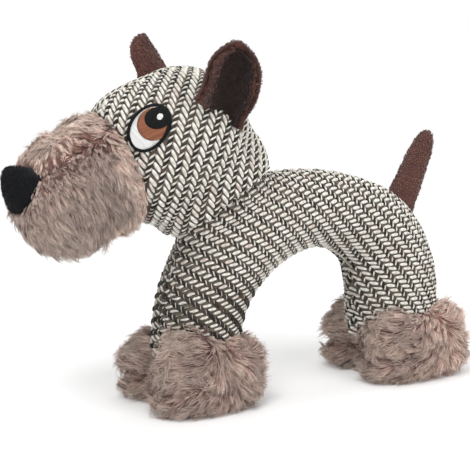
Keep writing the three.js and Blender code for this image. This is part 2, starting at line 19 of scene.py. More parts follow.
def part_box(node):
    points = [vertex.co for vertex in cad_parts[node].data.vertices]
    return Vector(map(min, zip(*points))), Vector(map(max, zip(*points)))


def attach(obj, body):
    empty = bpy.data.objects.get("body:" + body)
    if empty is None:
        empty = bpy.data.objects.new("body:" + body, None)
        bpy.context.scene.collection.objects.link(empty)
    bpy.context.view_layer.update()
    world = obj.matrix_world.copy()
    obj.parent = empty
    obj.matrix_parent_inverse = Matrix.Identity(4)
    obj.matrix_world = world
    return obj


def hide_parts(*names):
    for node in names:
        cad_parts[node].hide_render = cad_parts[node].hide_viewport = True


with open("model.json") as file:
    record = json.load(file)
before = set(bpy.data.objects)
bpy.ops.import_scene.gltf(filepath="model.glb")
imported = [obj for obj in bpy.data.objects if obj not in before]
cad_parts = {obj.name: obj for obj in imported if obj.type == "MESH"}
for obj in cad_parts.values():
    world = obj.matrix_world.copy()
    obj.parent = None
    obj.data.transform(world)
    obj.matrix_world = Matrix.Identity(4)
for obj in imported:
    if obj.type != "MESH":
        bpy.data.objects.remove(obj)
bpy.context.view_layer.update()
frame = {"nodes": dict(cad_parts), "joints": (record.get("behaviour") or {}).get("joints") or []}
joints = {joint["name"]: joint for joint in frame["joints"]}

MM = 0.001
SEED = 11
NOISE_SEED = 5
noise.seed_set(NOISE_SEED)
SIDES = {"left": -1, "right": 1}
X, Y, Z = np.eye(3)
FAR = 1e3

# Body: x from the head's centre, height and radius at points of the arch
ARCH = [(8.4, 22, 28.3), (8.6, 36, 28.3), (15.7, 68, 29), (41.3, 100.3, 31), (92, 110.5, 25.5)]
ARCH += [(133, 92.6, 28.4), (146.8, 66, 30.6), (149, 36, 30.5), (149, 22, 30.5)]
CURVE_STEPS = 60
BODY_STATIONS = 160
BODY_SIDES = 44
BODY_VOXEL = 3.2
BODY_SMOOTHING = 6
BODY_SWELL = 3
SEAM_DENT = 1.4
SEAM_HALF = 3.2
SEWN_HALF = 2.6
KNIT_DEPTH = 2.4
FOOT_TOP = 47
LEG_SEWN = (FOOT_TOP - 8, FOOT_TOP + 6)
KNIT_FLOOR = FOOT_TOP - 22

# Neck and head
SEAT = np.array(joints["head_turn"]["pos_m"]) / MM
NECK_UP = np.array(joints["head_turn"]["axis"])
SEAT_RADIUS = 46.5
HEAD_RISE = 77
HEAD = SEAT + HEAD_RISE * NECK_UP
HEAD_WIDTH = 0.93
HEAD_BLEND = 6
HEAD_SWELL = 2.5
HEAD_SEWN_HALF = 1.8
HEAD_KNIT_DEPTH = 1.8
SKULL_RADIUS = 41.5
BROW_REACH = 22
BROW_RADIUS = 42
NECK_DROP = 30
NECK = HEAD - NECK_UP * NECK_DROP
NECK_RADIUS = 41
NECK_WIDTH = 0.78
NECK_CONE = 60
NECK_SEWN_REACH = 36
NECK_SEWN_HOLD = 0.9
NECK_COVER_DEPTH = 15
NECK_COVER_REACH = 30
STUB_MIDDLE = 30
STUB_RADIUS = 44
CUT_BLEND = 4
WAD_ANGLE = 27
WAD_INNER = 41
WAD_OUTER = 45.2
WAD_GAP = 0.6
WAD_SIDES = 32
WAD_TILTS = [4, 10, 16, 21, 24.5, WAD_ANGLE - 1]
WAD_CURVE = 6
WAD_MARGIN = (WAD_ANGLE + 1, WAD_ANGLE + 8)
SEAT_GAP = 0.4

# Muzzle: x, z from the head's centre and radius of each ball in it
SEAM_LEAN = math.radians(21)
SEAM_FACING = np.array([-math.cos(SEAM_LEAN), 0, -math.sin(SEAM_LEAN)])
SEAM_REACH = 42
SEAM_BLEND = 5
SEAM_GAPS = {"head": 0.2, "knit": 0.6, "fur": 1.2, "muzzle": 0.4, "least": 0.3}
SEWN_MARGIN = 5
MUZZLE_BALLS = [(-51, -15.8, 34.4), (-72.5, -29, 33), (-42, -21, 29.5), (-78, -24.5, 28)]
MUZZLE_BLEND = 8
MUZZLE_SWELL = 2
MUZZLE_SEWN = 4
MUZZLE = HEAD + np.array([-61, 0, -24.5])
MUZZLE_PILE = 4.8

# Eyes: turn and lift of the way they face, then sizes in the eye's own plane. A layer of satin stitch has a
# disc as a, b and radius, the rim left inside the outline, the threads' angle in degrees and their lift.
EYE_TURN = math.radians(-49)
EYE_LIFT = math.radians(14)
EYE_LONG = 14.5
EYE_SHORT = 10.5
EYE_TILT = math.radians(77)
EYE_RIM = 1.8
EYE_ROUND = 0.9
EYE_COVER = 0.86
RIM_LIFT = 2.5
Satin = namedtuple("Satin", "disc rim angle lift thread")
SATIN = {
    "white": Satin((0, 0, 2 * EYE_LONG), 1, -45, 1.9, "white_thread"),
    "iris": Satin((2.2, 2.3, 9.6), 1, 35, 2.2, "brown_thread"),
    "pupil": Satin((3.5, 5.9, 6.9), 0.6, 80, 2.5, "black_thread"),
    "glint": Satin((4.7, 6.7, 1.75), 0, 0, 2.8, "white_thread"),
}

# Nose: half of its outline as shares across and up, and its sections as shares and depths
NOSE_HALF_WIDTH = 18.4
NOSE_HALF_HEIGHT = 14
NOSE_RAKE = 0.08
NOSE_WRAP = 6
NOSE_ROLL = math.radians(10)
NOSE_FACE = -144
NOSE_SIDE = [(0.5, 0.62), (0.75, 0.36), (0.58, -0.26), (0.24, -0.68)]
NOSE_ROUND = 0.26
NOSE_SECTIONS = [(0.88, -9), (0.97, -5), (1.02, -1), (1, 1.2), (0.93, 3), (0.77, 4.6), (0.5, 5.7)]
NOSE_SECTIONS += [(0.18, 6.1)]
NOSE_TOP_DRAW = 2
NOSE_SINK = 4
NOSE_PRESSED = (1.0, 0.72)
NOSE_COVERS = 0.82
NOSE_FRONT = 12
NOSE_POINTS = 60
NOSE_EDGE_WAYS = 24
NOSE_FUZZ_DEPTH = 1
NOSE_COMB_LIFT = 4

# Muzzle fur: a parting runs back from beside the nose, at a height that rises with x. Trims are how much
# shorter the fur is in a place, rise and lie are in degrees, and a pair is where a change starts and ends.
PARTING_X = -131
PARTING_Z = 148
PARTING_SLOPE = 0.56
PARTING_HALF = 5.5
PARTING_FROM_RIDGE = 13
PARTING_SCALE = 7
PATCH_WANDER = 3
PATCH_FROM_SEAM = 5
PATCH_SCALE = 2.6
PATCH_LEVEL = 0.08
CHEEK_FLOOR = 134
JOWL_FLOOR = 114
REAR_REACH = 12
REAR_CHIN_REACH = 22
REAR_CHIN_Z = (130, 112)
REAR_WANDER = 5
REAR_SCALE = 4
COMB_BLEND = 2
FUR_HANG = np.array([0.35, 0, -1])
FUR_SPREAD = 0.012
FUR_OVER = np.array([-0.35, 0, 0.6])
NOSE_PUSH = 0.8
NOSE_PUSH_REACH = 20
SEAM_TRIM = 0.5
SEAM_TRIM_BACK = (14, 2)
PARTING_TRIM = 0.55
PARTING_TRIM_HALF = 7
PARTING_TRIM_WANDER = 2.5
PARTING_TRIM_BACK = (5, 14)
PARTING_TRIM_BESIDE = (6, 18)
PARTING_RISE = 34
TOP_TRIM = 0.32
TOP_TRIM_BACK = (40, 18)
TOP_LIE = 15
TOP_OVER = (4, 12)
NOSE_TRIM = 0.45
NOSE_TRIM_SHARE = (1.7, 1.1)

# Feet, with how far each toe is drawn in and raised
FOOT_SQUARENESS = 2.7
FOOT_BELLY_Z = 21
FOOT_CREASE_Z = 17
FOOT_CREASE = 2.6
FOOT_CREASE_HALF = 3
FOOT_CREASE_AHEAD = 6
FOOT_CREASE_X = (-10, 6)
FOOT_PILE = 4
FOOT_SEWN = 3
FOOT_LEAST_Z = 1
FOOT_PARTING = 13
FOOT_SWELL = 2
SOLE_Z = 1.5
SOLE_BLEND = 4
TOE_SLOPE = 7
HEEL_RISE = 2
LEG_COVER = 23
LEG_COVER_Z = 36
FOOT_INNER = 4
FOOT_FUR_FLOOR = 1.4
TOE_X = (0, 22)
TOE_SLOPE_Z = (18, 44)
HEEL_X = (8, 24)
RISE_Z = (26, 40)
FOOT_PARTING_LEAN = 0.35
FOOT_PARTING_WANDER = 7
FOOT_PARTING_WIDTH = 9
TOES = {"front_left_foot": (3.5, 6), "front_right_foot": (3.5, -3)}
TOES.update(hind_left_foot=(0.5, 2.5), hind_right_foot=(0.5, 0))

# Foot fur: how strongly it falls in the parting, climbs at the top, droops below the crease and splays, then
# how much shorter or longer it is and rises in the parting, round the ankle, on the toe and in the crease
FOOT_WANDER_SCALE = 12
FOOT_FALL = 0.9
FOOT_LIFT = 0.1
FOOT_CLIMB = 1.1
FOOT_CLIMB_Z = (FOOT_TOP - 18, FOOT_TOP - 6)
FOOT_CLIMB_X = (6, 24)
FOOT_DROOP = 0.4
FOOT_DROOP_Z = (FOOT_CREASE_Z + 2, FOOT_CREASE_Z - 4)
FOOT_SPLAY = 0.25
FOOT_GAP_TRIM = 0.15
FOOT_GAP_RISE = 6
FOOT_GAP_HALF = 5
FOOT_GAP_Z = (6, 14)
ANKLE_TRIM = 0.5
ANKLE_Z = (FOOT_TOP - 14, FOOT_TOP - 6)
ANKLE_START = (-12, 6)
ANKLE_END = (14, 26)
TOE_GROWTH = 0.2
TOE_FUR_RISE = 14
TOE_FUR_X = (2, -14)
CREASE_TRIM = 0.6
CREASE_TRIM_HALF = 2.5
CREASE_TRIM_X = (10, -6)
CREASE_WANDER = 2

# Ears and tail: leans are outward and forward in degrees, tip rows are where the tips round off, and an
# ear's layers have an inset, a place along the way the ear faces, a thickness and a gap below the top
EAR_LENGTH = 42.8
EAR_SINK = 8
EAR_HALF_WIDTH = 15.9
EAR_ROOT_WIDTH = 0.72
EAR_WIDEST = 0.5
EAR_CUP_CURVE = 2.4
EAR_LEAST_HALF = 0.2
EAR_FOLD = 7
EAR_FOLD_DRAW = 4.5
EAR_FOLD_SHARE = 0.24
EAR_FOLD_HALF = 0.13
EAR_FOLD_ACROSS = (-0.35, -1)
EAR_SIDES = 44
EAR_ROWS = 26
EAR_ROWS_END = 0.8
EAR_INSET_CURVE = 6
EAR_FULL_HALF = 5
EAR_EDGE_THIN = 0.35
EAR_LEANS = {"left": (25.5, 2), "right": (30, 18.5)}
EAR_CUPS = {"left": 12, "right": 9}
EAR_TIPS = {"left": 7, "right": 4.5}
EAR_TIP_ROWS = [0.86, 0.91, 0.95, 0.975, 0.99, 0.998]
EAR_RIM = 5.5
EAR_RIM_WANDER = 4
EAR_RIM_SCALE = 1.7
EAR_RIM_CURVE = 3.5
EAR_RIM_OVERLAP = 0.5
EAR_RIM_FLOOR = -1
EAR_LAYERS = {"back": (0, -1.0, 1.7, 0), "lining": (4, 1.1, 1.2, 4.2), "rim": (3, 1.3, 1.2, 3.2)}
TAIL_LENGTH = 48.5
TAIL_SINK = 4
TAIL_ROOT_HALF = 9.6
TAIL_TIP_HALF = 6.4
TAIL_SHIFT = 2.2
TAIL_FLATNESS = 0.72
TAIL_TIP_ROWS = [0.9, 0.94, 0.97, 0.99, 0.998]
TAIL_SWELL = 1
TAIL_LEAST_HALF = 0.3
TAIL_SIDES = 28
TAIL_ROWS = 18
TAIL_ROWS_END = 0.84
TAIL_TIP_CURVE = 8
TAIL_TIP_ROUND = 0.2
TAIL_TOP_GAP = 1
TAIL_SEWN = 0.85
TAIL_SEWN_TAPER = 90
TAIL_ROOT_SEWN = 2

# The yarn legs of a stitch: lean from the column in degrees, sizes and shifts as shares of the pitches, how
# much fuller a leg is low on the forelegs, where the knit is stretched, and the sides of its tube
Leg = namedtuple("Leg", "lean length width height aside onward fore sides")
BODY_LEGS = {
    "cream": Leg(60, 0.8, 0.3, 0.23, -0.2, 0, -0.2, 7),
    "pale": Leg(-45, 0.5, 0.15, 0.23, 0.3, 0.6, -0.5, 5),
    "dark": Leg(-45, 0.66, 0.23, 0.22, 0.3, 0.1, 0.7, 6),
}
HEAD_LEGS = {
    "cream": Leg(50, 0.88, 0.29, 0.21, -0.2, 0, 0, 7),
    "pale": Leg(-42, 0.54, 0.18, 0.22, 0.3, 0.62, 0, 5),
    "dark": Leg(-42, 0.62, 0.27, 0.22, 0.31, 0.16, 0, 6),
}
FORELEG_Z = (90, 66)
FORELEG_X = (20, -10)

# Knit: columns lie on circles of each flat panel, wale apart, with a stitch at each row along them. down is
# the way they run, and wrap is how far the panel follows the form's arc instead of its flat outline.
Layout = namedtuple("Layout", "centre radii turns down wale row wrap legs")
BODY_LAYOUT = Layout((-244, -192), (262, 535), (18, 70), -1, 7.0, 3.6, 0.6, BODY_LEGS)
HEAD_LAYOUT = Layout((104, -41), (24, 220), (80, 245), 1, 8.2, 4.15, 0.9, HEAD_LEGS)

# Pile: length, thickness, rise and final lie of a strand, the strands in a tuft, how far these are pulled
# together, the wander of tufts and strands, the height of their waves, and how long each strand is left
Pile = namedtuple("Pile", "length thick rise lie tuft pull wander stray wave trim", defaults=[1])
FUR = Pile(13, 0.3, 37, -4, 10, 0.45, 0.2, 0.16, 0.75)
FOOT_FUR = FUR._replace(length=12, rise=38, lie=-3, pull=0.38, wander=0.24, stray=0.2)
FUZZ = FUR._replace(length=1.3, thick=0.2, rise=75, lie=20, tuft=8, pull=0.2, wave=0.1)
PLUSH = Pile(1.3, 0.26, 66, 24, 14, 0.3, 0.35, 0.25, 0.15)
MUZZLE_SWIRLS = {24: 0.45, 8: 0.2}
FOOT_SWIRLS = {12: 0.6, 6: 0.35}
EAR_SWIRLS = {12: 0.3}
TAIL_SWIRLS = {10: 0.3}
STRANDS = {"muzzle": 80000, "nose": 6500, "foot": 20000, "tail": 7000}
STRANDS.update(ear_back=9000, ear_lining=6500, ear_rim=7500)

# Camera of the photograph
AZIMUTH = math.radians(-28.7)
ELEVATION = math.radians(11.8)
CAMERA_DISTANCE = 1000
CAMERA_TARGET = np.array([-3.7, 0, 99])
LENS = 127.7

UV_NAME = "OFBake"
TONES = 64
TONE_MARGIN = 0.1


def unit(v):
    return v / np.maximum(np.linalg.norm(v, axis=-1, keepdims=True), 1e-9)


def norm(v):
    return np.linalg.norm(v, axis=-1)


def inner(a, b):
    return (a * b).sum(-1)


def dot(a, b):
    """Inner products as a column."""
    return inner(a, b)[..., None]


def smooth_max(a, b, reach):
    return np.maximum(a, b) + np.maximum(reach - np.abs(a - b), 0) ** 2 / (4 * reach)


def smooth_min(a, b, reach):
    return -smooth_max(-a, -b, reach)


def ease(low, high, value):
    """0 at low, 1 at high, smooth between and held beyond them."""
    t = np.clip((value - low) / (high - low), 0, 1)
    return t * t * (3 - 2 * t)


def bell(value, half):
    """1 at 0, falling away on both sides."""
    return np.exp(-((value / half) ** 2))


def turn(a, b, angle):
    """Places along two axes of a plane after the axes turn by angle."""
    return a * math.cos(angle) + b * math.sin(angle), b * math.cos(angle) - a * math.sin(angle)


def quarter_turn(ways):
    return np.stack([-ways[..., 1], ways[..., 0]], axis=-1)


def facing(turned, lift):
    """The way that is turned from -Y toward +X, and lifted."""
    level = math.cos(lift)
    return np.array([math.sin(turned) * level, -math.cos(turned) * level, math.sin(lift)])


def circle(count):
    """Cosines and sines of even turns, as columns."""
    turns = 2 * np.pi * np.arange(count) / count
    return np.cos(turns)[:, None], np.sin(turns)[:, None]


def drift(points, scale):
    """Smooth vectors that wander over points, about scale apart."""
    return np.array([noise.noise_vector(Vector(p / scale)) for p in points])


def swirl(points, swirls):
    """The wander of a pile's lie, from the strength of each scale of drift."""
    return sum(strength * drift(points, scale) for scale, strength in swirls.items())


def ball_reach(directions, offset, radius, width=1):
    """Distance from the middle to the far side of a ball at offset, narrowed across by width."""
    narrow = np.array([1, 1 / width, 1])
    ways = directions * narrow
    centre = offset * narrow
    a = inner(ways, centre)
    q = inner(ways, ways)
    inside = np.maximum(a * a - q * (centre @ centre - radius**2), 0)
    return (a + np.sqrt(inside)) / q


def plane_reach(directions, normal, distance, grazing=0.05):
    """Distance from the middle to a plane, or FAR where a direction misses it or nearly so."""
    toward = inner(directions, normal)
    return np.where(toward > grazing, distance / np.maximum(toward, grazing), FAR)


def from_seam(points):
    """How far points lie before the plane where the muzzle is sewn to the head."""
    return inner(points - HEAD, SEAM_FACING) - SEAM_REACH


# Meshes


def add_mesh(name, points, triangles, corners=None):
    mesh = bpy.data.meshes.new(name)
    mesh.vertices.add(len(points))
    mesh.vertices.foreach_set("co", (points * MM).astype(np.float32).ravel())
    mesh.loops.add(triangles.size)
    mesh.loops.foreach_set("vertex_index", triangles.astype(np.int32).ravel())
    mesh.polygons.add(len(triangles))
    mesh.polygons.foreach_set("loop_start", np.arange(0, triangles.size, 3, dtype=np.int32))
    mesh.polygons.foreach_set("use_smooth", np.ones(len(triangles), dtype=bool))
    if corners is not None:
        layer = mesh.uv_layers.new(name=UV_NAME)
        layer.data.foreach_set("uv", corners.astype(np.float32).ravel())
    mesh.update(calc_edges=True)
    mesh.validate()
    made = bpy.data.objects.new(name, mesh)
    bpy.context.scene.collection.objects.link(made)
    return made


def add_piece(name, shape, body, slot, material, stands_for=()):
    """A piece of the toy from (points, triangles) or (points, triangles, corner UVs)."""
    made = add_mesh(name, *shape)
    made.data.materials.append(material)
    if stands_for:
        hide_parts(*stands_for)
    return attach(made, body)


def add_pad(name, shape, body, slot, material, stands_for):
    """A padded piece with one subdivision over its cover."""
    made = add_piece(name, shape, body, slot, material, stands_for)
    made.modifiers.new("Soft", "SUBSURF").levels = 1
    made.modifiers["Soft"].render_levels = 1
    return made


def final_mesh(made):
    """Points and triangles of an object after its modifiers, in millimetres; the object is removed."""
    bpy.context.view_layer.update()
    shown = made.evaluated_get(bpy.context.evaluated_depsgraph_get())
    mesh = shown.to_mesh()
    mesh.calc_loop_triangles()
    points = np.empty(len(mesh.vertices) * 3, dtype=np.float32)
    mesh.vertices.foreach_get("co", points)
    triangles = np.empty(len(mesh.loop_triangles) * 3, dtype=np.int32)
    mesh.loop_triangles.foreach_get("vertices", triangles)
    shown.to_mesh_clear()
    bpy.data.objects.remove(made)
    return points.reshape(-1, 3).astype(float) / MM, triangles.reshape(-1, 3)


def ball_shape(divisions):
    """Directions and triangles of an even ball."""
    bm = bmesh.new()
    bmesh.ops.create_icosphere(bm, subdivisions=divisions, radius=1)
    directions = unit(np.array([v.co for v in bm.verts]))
    triangles = np.array([[v.index for v in f.verts] for f in bm.faces])
    bm.free()
    return directions, triangles


def ray_tree(shape):
    return BVHTree.FromPolygons(shape[0].tolist(), shape[1].tolist())


def skin(rings):
    """A closed skin over rings of points, with a fan at each end."""
    rings = np.array(rings)
    rows, sides = rings.shape[:2]
    points = np.vstack([rings.reshape(-1, 3), rings[0].mean(0), rings[-1].mean(0)])
    triangles = []
    first, last = rows * sides, rows * sides + 1
    for k in range(sides):
        after = (k + 1) % sides
        triangles.append((first, after, k))
        triangles.append((last, (rows - 1) * sides + k, (rows - 1) * sides + after))
        for r in range(rows - 1):
            a, b = r * sides + k, r * sides + after
            triangles += [(a, b, b + sides), (a, b + sides, a + sides)]
    triangles = np.array(triangles)
    a, b, c = (points - points[0])[triangles].transpose(1, 0, 2)
    inside_out = (a * np.cross(b, c)).sum() < 0
    return points, triangles[:, ::-1] if inside_out else triangles


def join(shapes):
    """Several shapes as one."""
    points, triangles, *corners = zip(*shapes)
    starts = np.cumsum([0] + [len(part) for part in points[:-1]])
    moved = [part + start for part, start in zip(triangles, starts)]
    return [np.vstack(parts) for parts in (points, moved, *corners)]


def fuse(shapes, voxel, rounds):
    """One closed skin round shapes that overlap, smoothed rounds times."""
    made = add_mesh("fused", *join(shapes))
    remesh = made.modifiers.new("Remesh", "REMESH")
    remesh.mode = "VOXEL"
    remesh.voxel_size = voxel * MM
    smooth = made.modifiers.new("Smooth", "SMOOTH")
    smooth.factor = 0.5
    smooth.iterations = rounds
    return final_mesh(made)


def corner_normals(points, triangles):
    """The smooth normal at each point."""
    a, b, c = points[triangles].transpose(1, 0, 2)
    across = np.cross(b - a, c - a)
    normals = np.zeros_like(points)
    for k in range(3):
        np.add.at(normals, triangles[:, k], across)
    return unit(normals)


CLOTH_FRAMES = 20
CLOTH = {"quality": 5, "mass": 0.3, "tension_stiffness": 20, "compression_stiffness": 20}
CLOTH.update(shear_stiffness=8, bending_stiffness=2, use_pressure=True, uniform_pressure_force=4)


def puff(shape, sewn, cap):
    """The shape after a short cloth simulation under the stuffing's pressure.

    sewn is 1 where a seam holds the cover and 0 where it is free, and no point moves further than cap.
    """
    points, triangles = shape
    made = add_mesh("cover", points, triangles)
    held = made.vertex_groups.new(name="sewn")
    for index, weight in enumerate(sewn):
        held.add([index], float(weight), "REPLACE")
    cloth = made.modifiers.new("Cloth", "CLOTH")
    for key, value in CLOTH.items():
        setattr(cloth.settings, key, value)
    cloth.settings.vertex_group_mass = held.name
    cloth.settings.effector_weights.gravity = 0
    cloth.collision_settings.use_collision = False
    cloth.point_cache.frame_start = 1
    cloth.point_cache.frame_end = CLOTH_FRAMES
    for step in range(1, CLOTH_FRAMES + 1):
        bpy.context.scene.frame_set(step)
    swollen, _ = final_mesh(made)
    bpy.context.scene.frame_set(1)
    move = swollen - points
    far = np.linalg.norm(move, axis=1, keepdims=True)
    return points + move * (cap * np.tanh(far / cap) / np.maximum(far, 1e-9)), triangles


# Materials

BRUSHED_SCALE = 75.0
STREAKS = 9
STREAK_SCALE = 2.0
FIBRE_SHADE = [(0.0, (0.62, 0.6, 0.58, 1)), (0.7, (1.06, 1.06, 1.06, 1))]
CLOTH_CLOUD_SCALE = 60.0
PLASTIC_CLOUD_SCALE = 90.0


def grey(level):
    return (level, level, level, 1)


def colour(red, green, blue):
    """A colour written in screen values, as the linear one that shaders use."""
    screen = np.array([red, green, blue]) / 255
    linear = np.where(screen <= 0.04045, screen / 12.92, ((screen + 0.055) / 1.055) ** 2.4)
    return (*linear.tolist(), 1)


def greys(*stops):
    return [(place, grey(level)) for place, level in stops]


def shades(*stops):
    """Stops of a ramp, from a place and a screen colour each."""
    return [(place, colour(*screen)) for place, *screen in stops]


def add(tree, kind, inputs=None, **settings):
    """A shader node, with its inputs set to values or linked to sockets."""
    node = tree.nodes.new("ShaderNode" + kind)
    for key, value in settings.items():
        setattr(node, key, value)
    for key, value in (inputs or {}).items():
        if isinstance(value, bpy.types.NodeSocket):
            tree.links.new(value, node.inputs[key])
        else:
            node.inputs[key].default_value = value
    return node


def maths(tree, operation, a, b=0.0):
    return add(tree, "Math", {0: a, 1: b}, operation=operation).outputs[0]


def clouds(tree, place, scale, detail):
    return add(tree, "TexNoise", {"Vector": place, "Scale": scale, "Detail": detail}).outputs[0]


def object_place(tree):
    return add(tree, "TexCoord").outputs["Object"]


def ramp(tree, factor, stops):
    node = add(tree, "ValToRGB", {0: factor})
    elements = node.color_ramp.elements
    while len(elements) < len(stops):
        elements.new(0.5)
    for element, (place, tint) in zip(elements, stops):
        element.position = place
        element.color = tint
    return node.outputs[0]


def mix(tree, a, b):
    """Two colours multiplied."""
    return add(tree, "Mix", {0: 1.0, 6: a, 7: b}, data_type="RGBA", blend_type="MULTIPLY").outputs[2]


def new_material(name, sheen, specular):
    material = bpy.data.materials.new(name)
    material.use_nodes = True
    surface = material.node_tree.nodes["Principled BSDF"]
    surface.inputs["Sheen Weight"].default_value = sheen
    surface.inputs["Sheen Roughness"].default_value = 0.5
    surface.inputs["Specular IOR Level"].default_value = specular
    return material, material.node_tree, surface


def finish_surface(tree, surface, tint, height, bump, distance, rough):
    """Links the colour, a bump from height and a roughness that varies with it."""
    tree.links.new(tint, surface.inputs["Base Color"])
    relief = add(tree, "Bump", {"Height": height, "Strength": bump, "Distance": distance * MM})
    tree.links.new(relief.outputs[0], surface.inputs["Normal"])
    varied = add(tree, "MapRange", {0: height, 3: rough[0], 4: rough[1]})
    tree.links.new(varied.outputs[0], surface.inputs["Roughness"])


def fibre_material(name, along, tones, sheen, specular=0.2, twist=0, brushed=0):
    """Fibres whose colour runs along their length, with a tone of its own for each column of the UV map.

    twist is the turns of a yarn's plies, and brushed is how much lighter and darker the pile is in places.
    """
    material, tree, surface = new_material(name, sheen, specular)
    uv = add(tree, "UVMap", uv_map=UV_NAME).outputs[0]
    place = add(tree, "SeparateXYZ", {0: uv}).outputs
    column = maths(tree, "MULTIPLY", place[0], TONES)
    cell = maths(tree, "FLOOR", column)
    tone = add(tree, "TexWhiteNoise", {"W": cell}, noise_dimensions="1D").outputs[0]
    tint = mix(tree, ramp(tree, place[1], along), ramp(tree, tone, tones))
    if brushed:
        cloud = clouds(tree, object_place(tree), BRUSHED_SCALE, 2.0)
        tint = mix(tree, tint, ramp(tree, cloud, greys((0.35, 1 - brushed), (0.65, 1 + brushed))))
    stretched = add(tree, "CombineXYZ", {0: maths(tree, "MULTIPLY", column, STREAKS), 1: place[1]})
    height = clouds(tree, stretched.outputs[0], STREAK_SCALE, 2.0)
    if twist:
        within = maths(tree, "SUBTRACT", maths(tree, "FRACT", column), TONE_MARGIN)
        around = maths(tree, "DIVIDE", within, 1 - 2 * TONE_MARGIN)
        phase = maths(tree, "ADD", maths(tree, "MULTIPLY", place[1], twist), around)
        ply = maths(tree, "SINE", maths(tree, "MULTIPLY", phase, 2 * math.pi))
        height = add(tree, "MapRange", {0: maths(tree, "ADD", ply, height), 1: -1.0, 2: 2.0}).outputs[0]
    shade = ramp(tree, height, FIBRE_SHADE)
    finish_surface(tree, surface, mix(tree, tint, shade), height, 0.5, 0.4, (0.95, 0.7))
    return material


def cloth_material(name, light, dark, grain, sheen=0.2):
    """Matt cloth whose colour wanders between two screen colours, with a grain of its own size."""
    material, tree, surface = new_material(name, sheen, 0.2)
    place = object_place(tree)
    cloud = maths(tree, "MULTIPLY", clouds(tree, place, CLOTH_CLOUD_SCALE, 3.0), 0.35)
    fine = maths(tree, "MULTIPLY", clouds(tree, place, 1 / (grain * MM), 2.0), 0.65)
    height = maths(tree, "ADD", cloud, fine)
    tint = ramp(tree, height, shades((0.32, *dark), (0.68, *light)))
    finish_surface(tree, surface, tint, height, 0.5, grain, (0.95, 0.75))
    return material


def plastic_material(name, light, dark, rough):
    """Smooth moulded plastic with faint clouding between two screen colours and a fine skin."""
    material, tree, surface = new_material(name, 0.0, 0.5)
    cloud = clouds(tree, object_place(tree), PLASTIC_CLOUD_SCALE, 4.0)
    tint = ramp(tree, cloud, shades((0.3, *dark), (0.7, *light)))
    finish_surface(tree, surface, tint, cloud, 0.1, 0.2, rough)
    return material


# Painted shade: a knit leg's yarn darkens toward both ends, where it dives under the next stitch
KNIT_END_SHADE = greys((0, 0.45), (0.25, 1), (0.75, 1), (1, 0.45))
CREAM_TONES = shades((0, 210, 198, 190), (0.12, 216, 212, 202), (0.8, 231, 229, 221), (1, 208, 208, 196))
DARK_TONES = shades((0, 38, 34, 31), (0.5, 56, 50, 44), (0.9, 76, 69, 60), (1, 92, 66, 57))
FUR_ALONG = shades((0, 110, 70, 65), (0.3, 170, 138, 128), (0.75, 204, 184, 172), (1, 230, 215, 204))
FUR_TONES = [(0, (0.5, 0.46, 0.45)), (0.35, (0.92, 0.92, 0.92)), (0.75, (1.08, 1.08, 1.08))]
FUR_TONES += [(1, (1.4, 1.38, 1.36))]
PARTING_ALONG = shades((0, 96, 60, 55), (0.35, 128, 88, 80), (0.8, 160, 124, 114), (1, 186, 148, 137))
PLUSH_TONES = greys((0, 0.75), (1, 1.08))
SHORT_TONES = greys((0, 0.7), (1, 1.1))
# Painted shade: a satin thread darkens toward both ends, where it sinks into the cloth
THREAD_END_SHADE = greys((0, 0.7), (0.12, 1), (0.88, 1), (1, 0.7))


def fur_material(name, level, along=FUR_ALONG):
    """Long pile in mixed tones, made lighter or darker by level, which paints light or shade onto copies of
    one fur.
    """
    tones = [(place, (*(share * level for share in tone), 1)) for place, tone in FUR_TONES]
    return fibre_material(name, along, tones, 0.2, brushed=0.12)


def plush_material(name, sheen, *along):
    return fibre_material(name, shades(*along), PLUSH_TONES, sheen, brushed=0.22)


def thread_material(name, light, dark):
    return fibre_material(name, THREAD_END_SHADE, shades((0, *dark), (1, *light)), 0.0)


cream_yarn = fibre_material("cream_yarn", KNIT_END_SHADE, CREAM_TONES, 0.15, twist=1)
dark_yarn = fibre_material("dark_yarn", KNIT_END_SHADE, DARK_TONES, 0.1, twist=1)
knit_back = cloth_material("knit_back", (116, 108, 98), (72, 65, 58), 0.8)
fur_pile = fur_material("fur_pile", 0.98)
# Painted light: the same fur made lighter on top of the muzzle, where the light from above falls
top_pile = fur_material("top_pile", 1.3)
# Painted light: the same fur made much lighter at the back of the muzzle by its seam, where little light
# reaches, and on the hind heels, for the rim of light from behind
seam_pile = fur_material("seam_pile", 1.5)
# Painted light: the same fur made lighter on the feet, which sit low in less light
foot_pile = fur_material("foot_pile", 1.16)
parting_pile = fur_material("parting_pile", 1.0, PARTING_ALONG)
fur_back = cloth_material("fur_back", (160, 118, 110), (116, 80, 74), 0.7)
plush_pile = plush_material("plush_pile", 0.3, (0, 80, 46, 40), (0.6, 118, 76, 66), (1, 152, 108, 96))
# Painted shade: the ears' backs use a darker copy of the plush, for the shade they sit in
ear_pile = plush_material("ear_pile", 0.2, (0, 66, 37, 32), (0.6, 98, 61, 53), (1, 130, 89, 79))
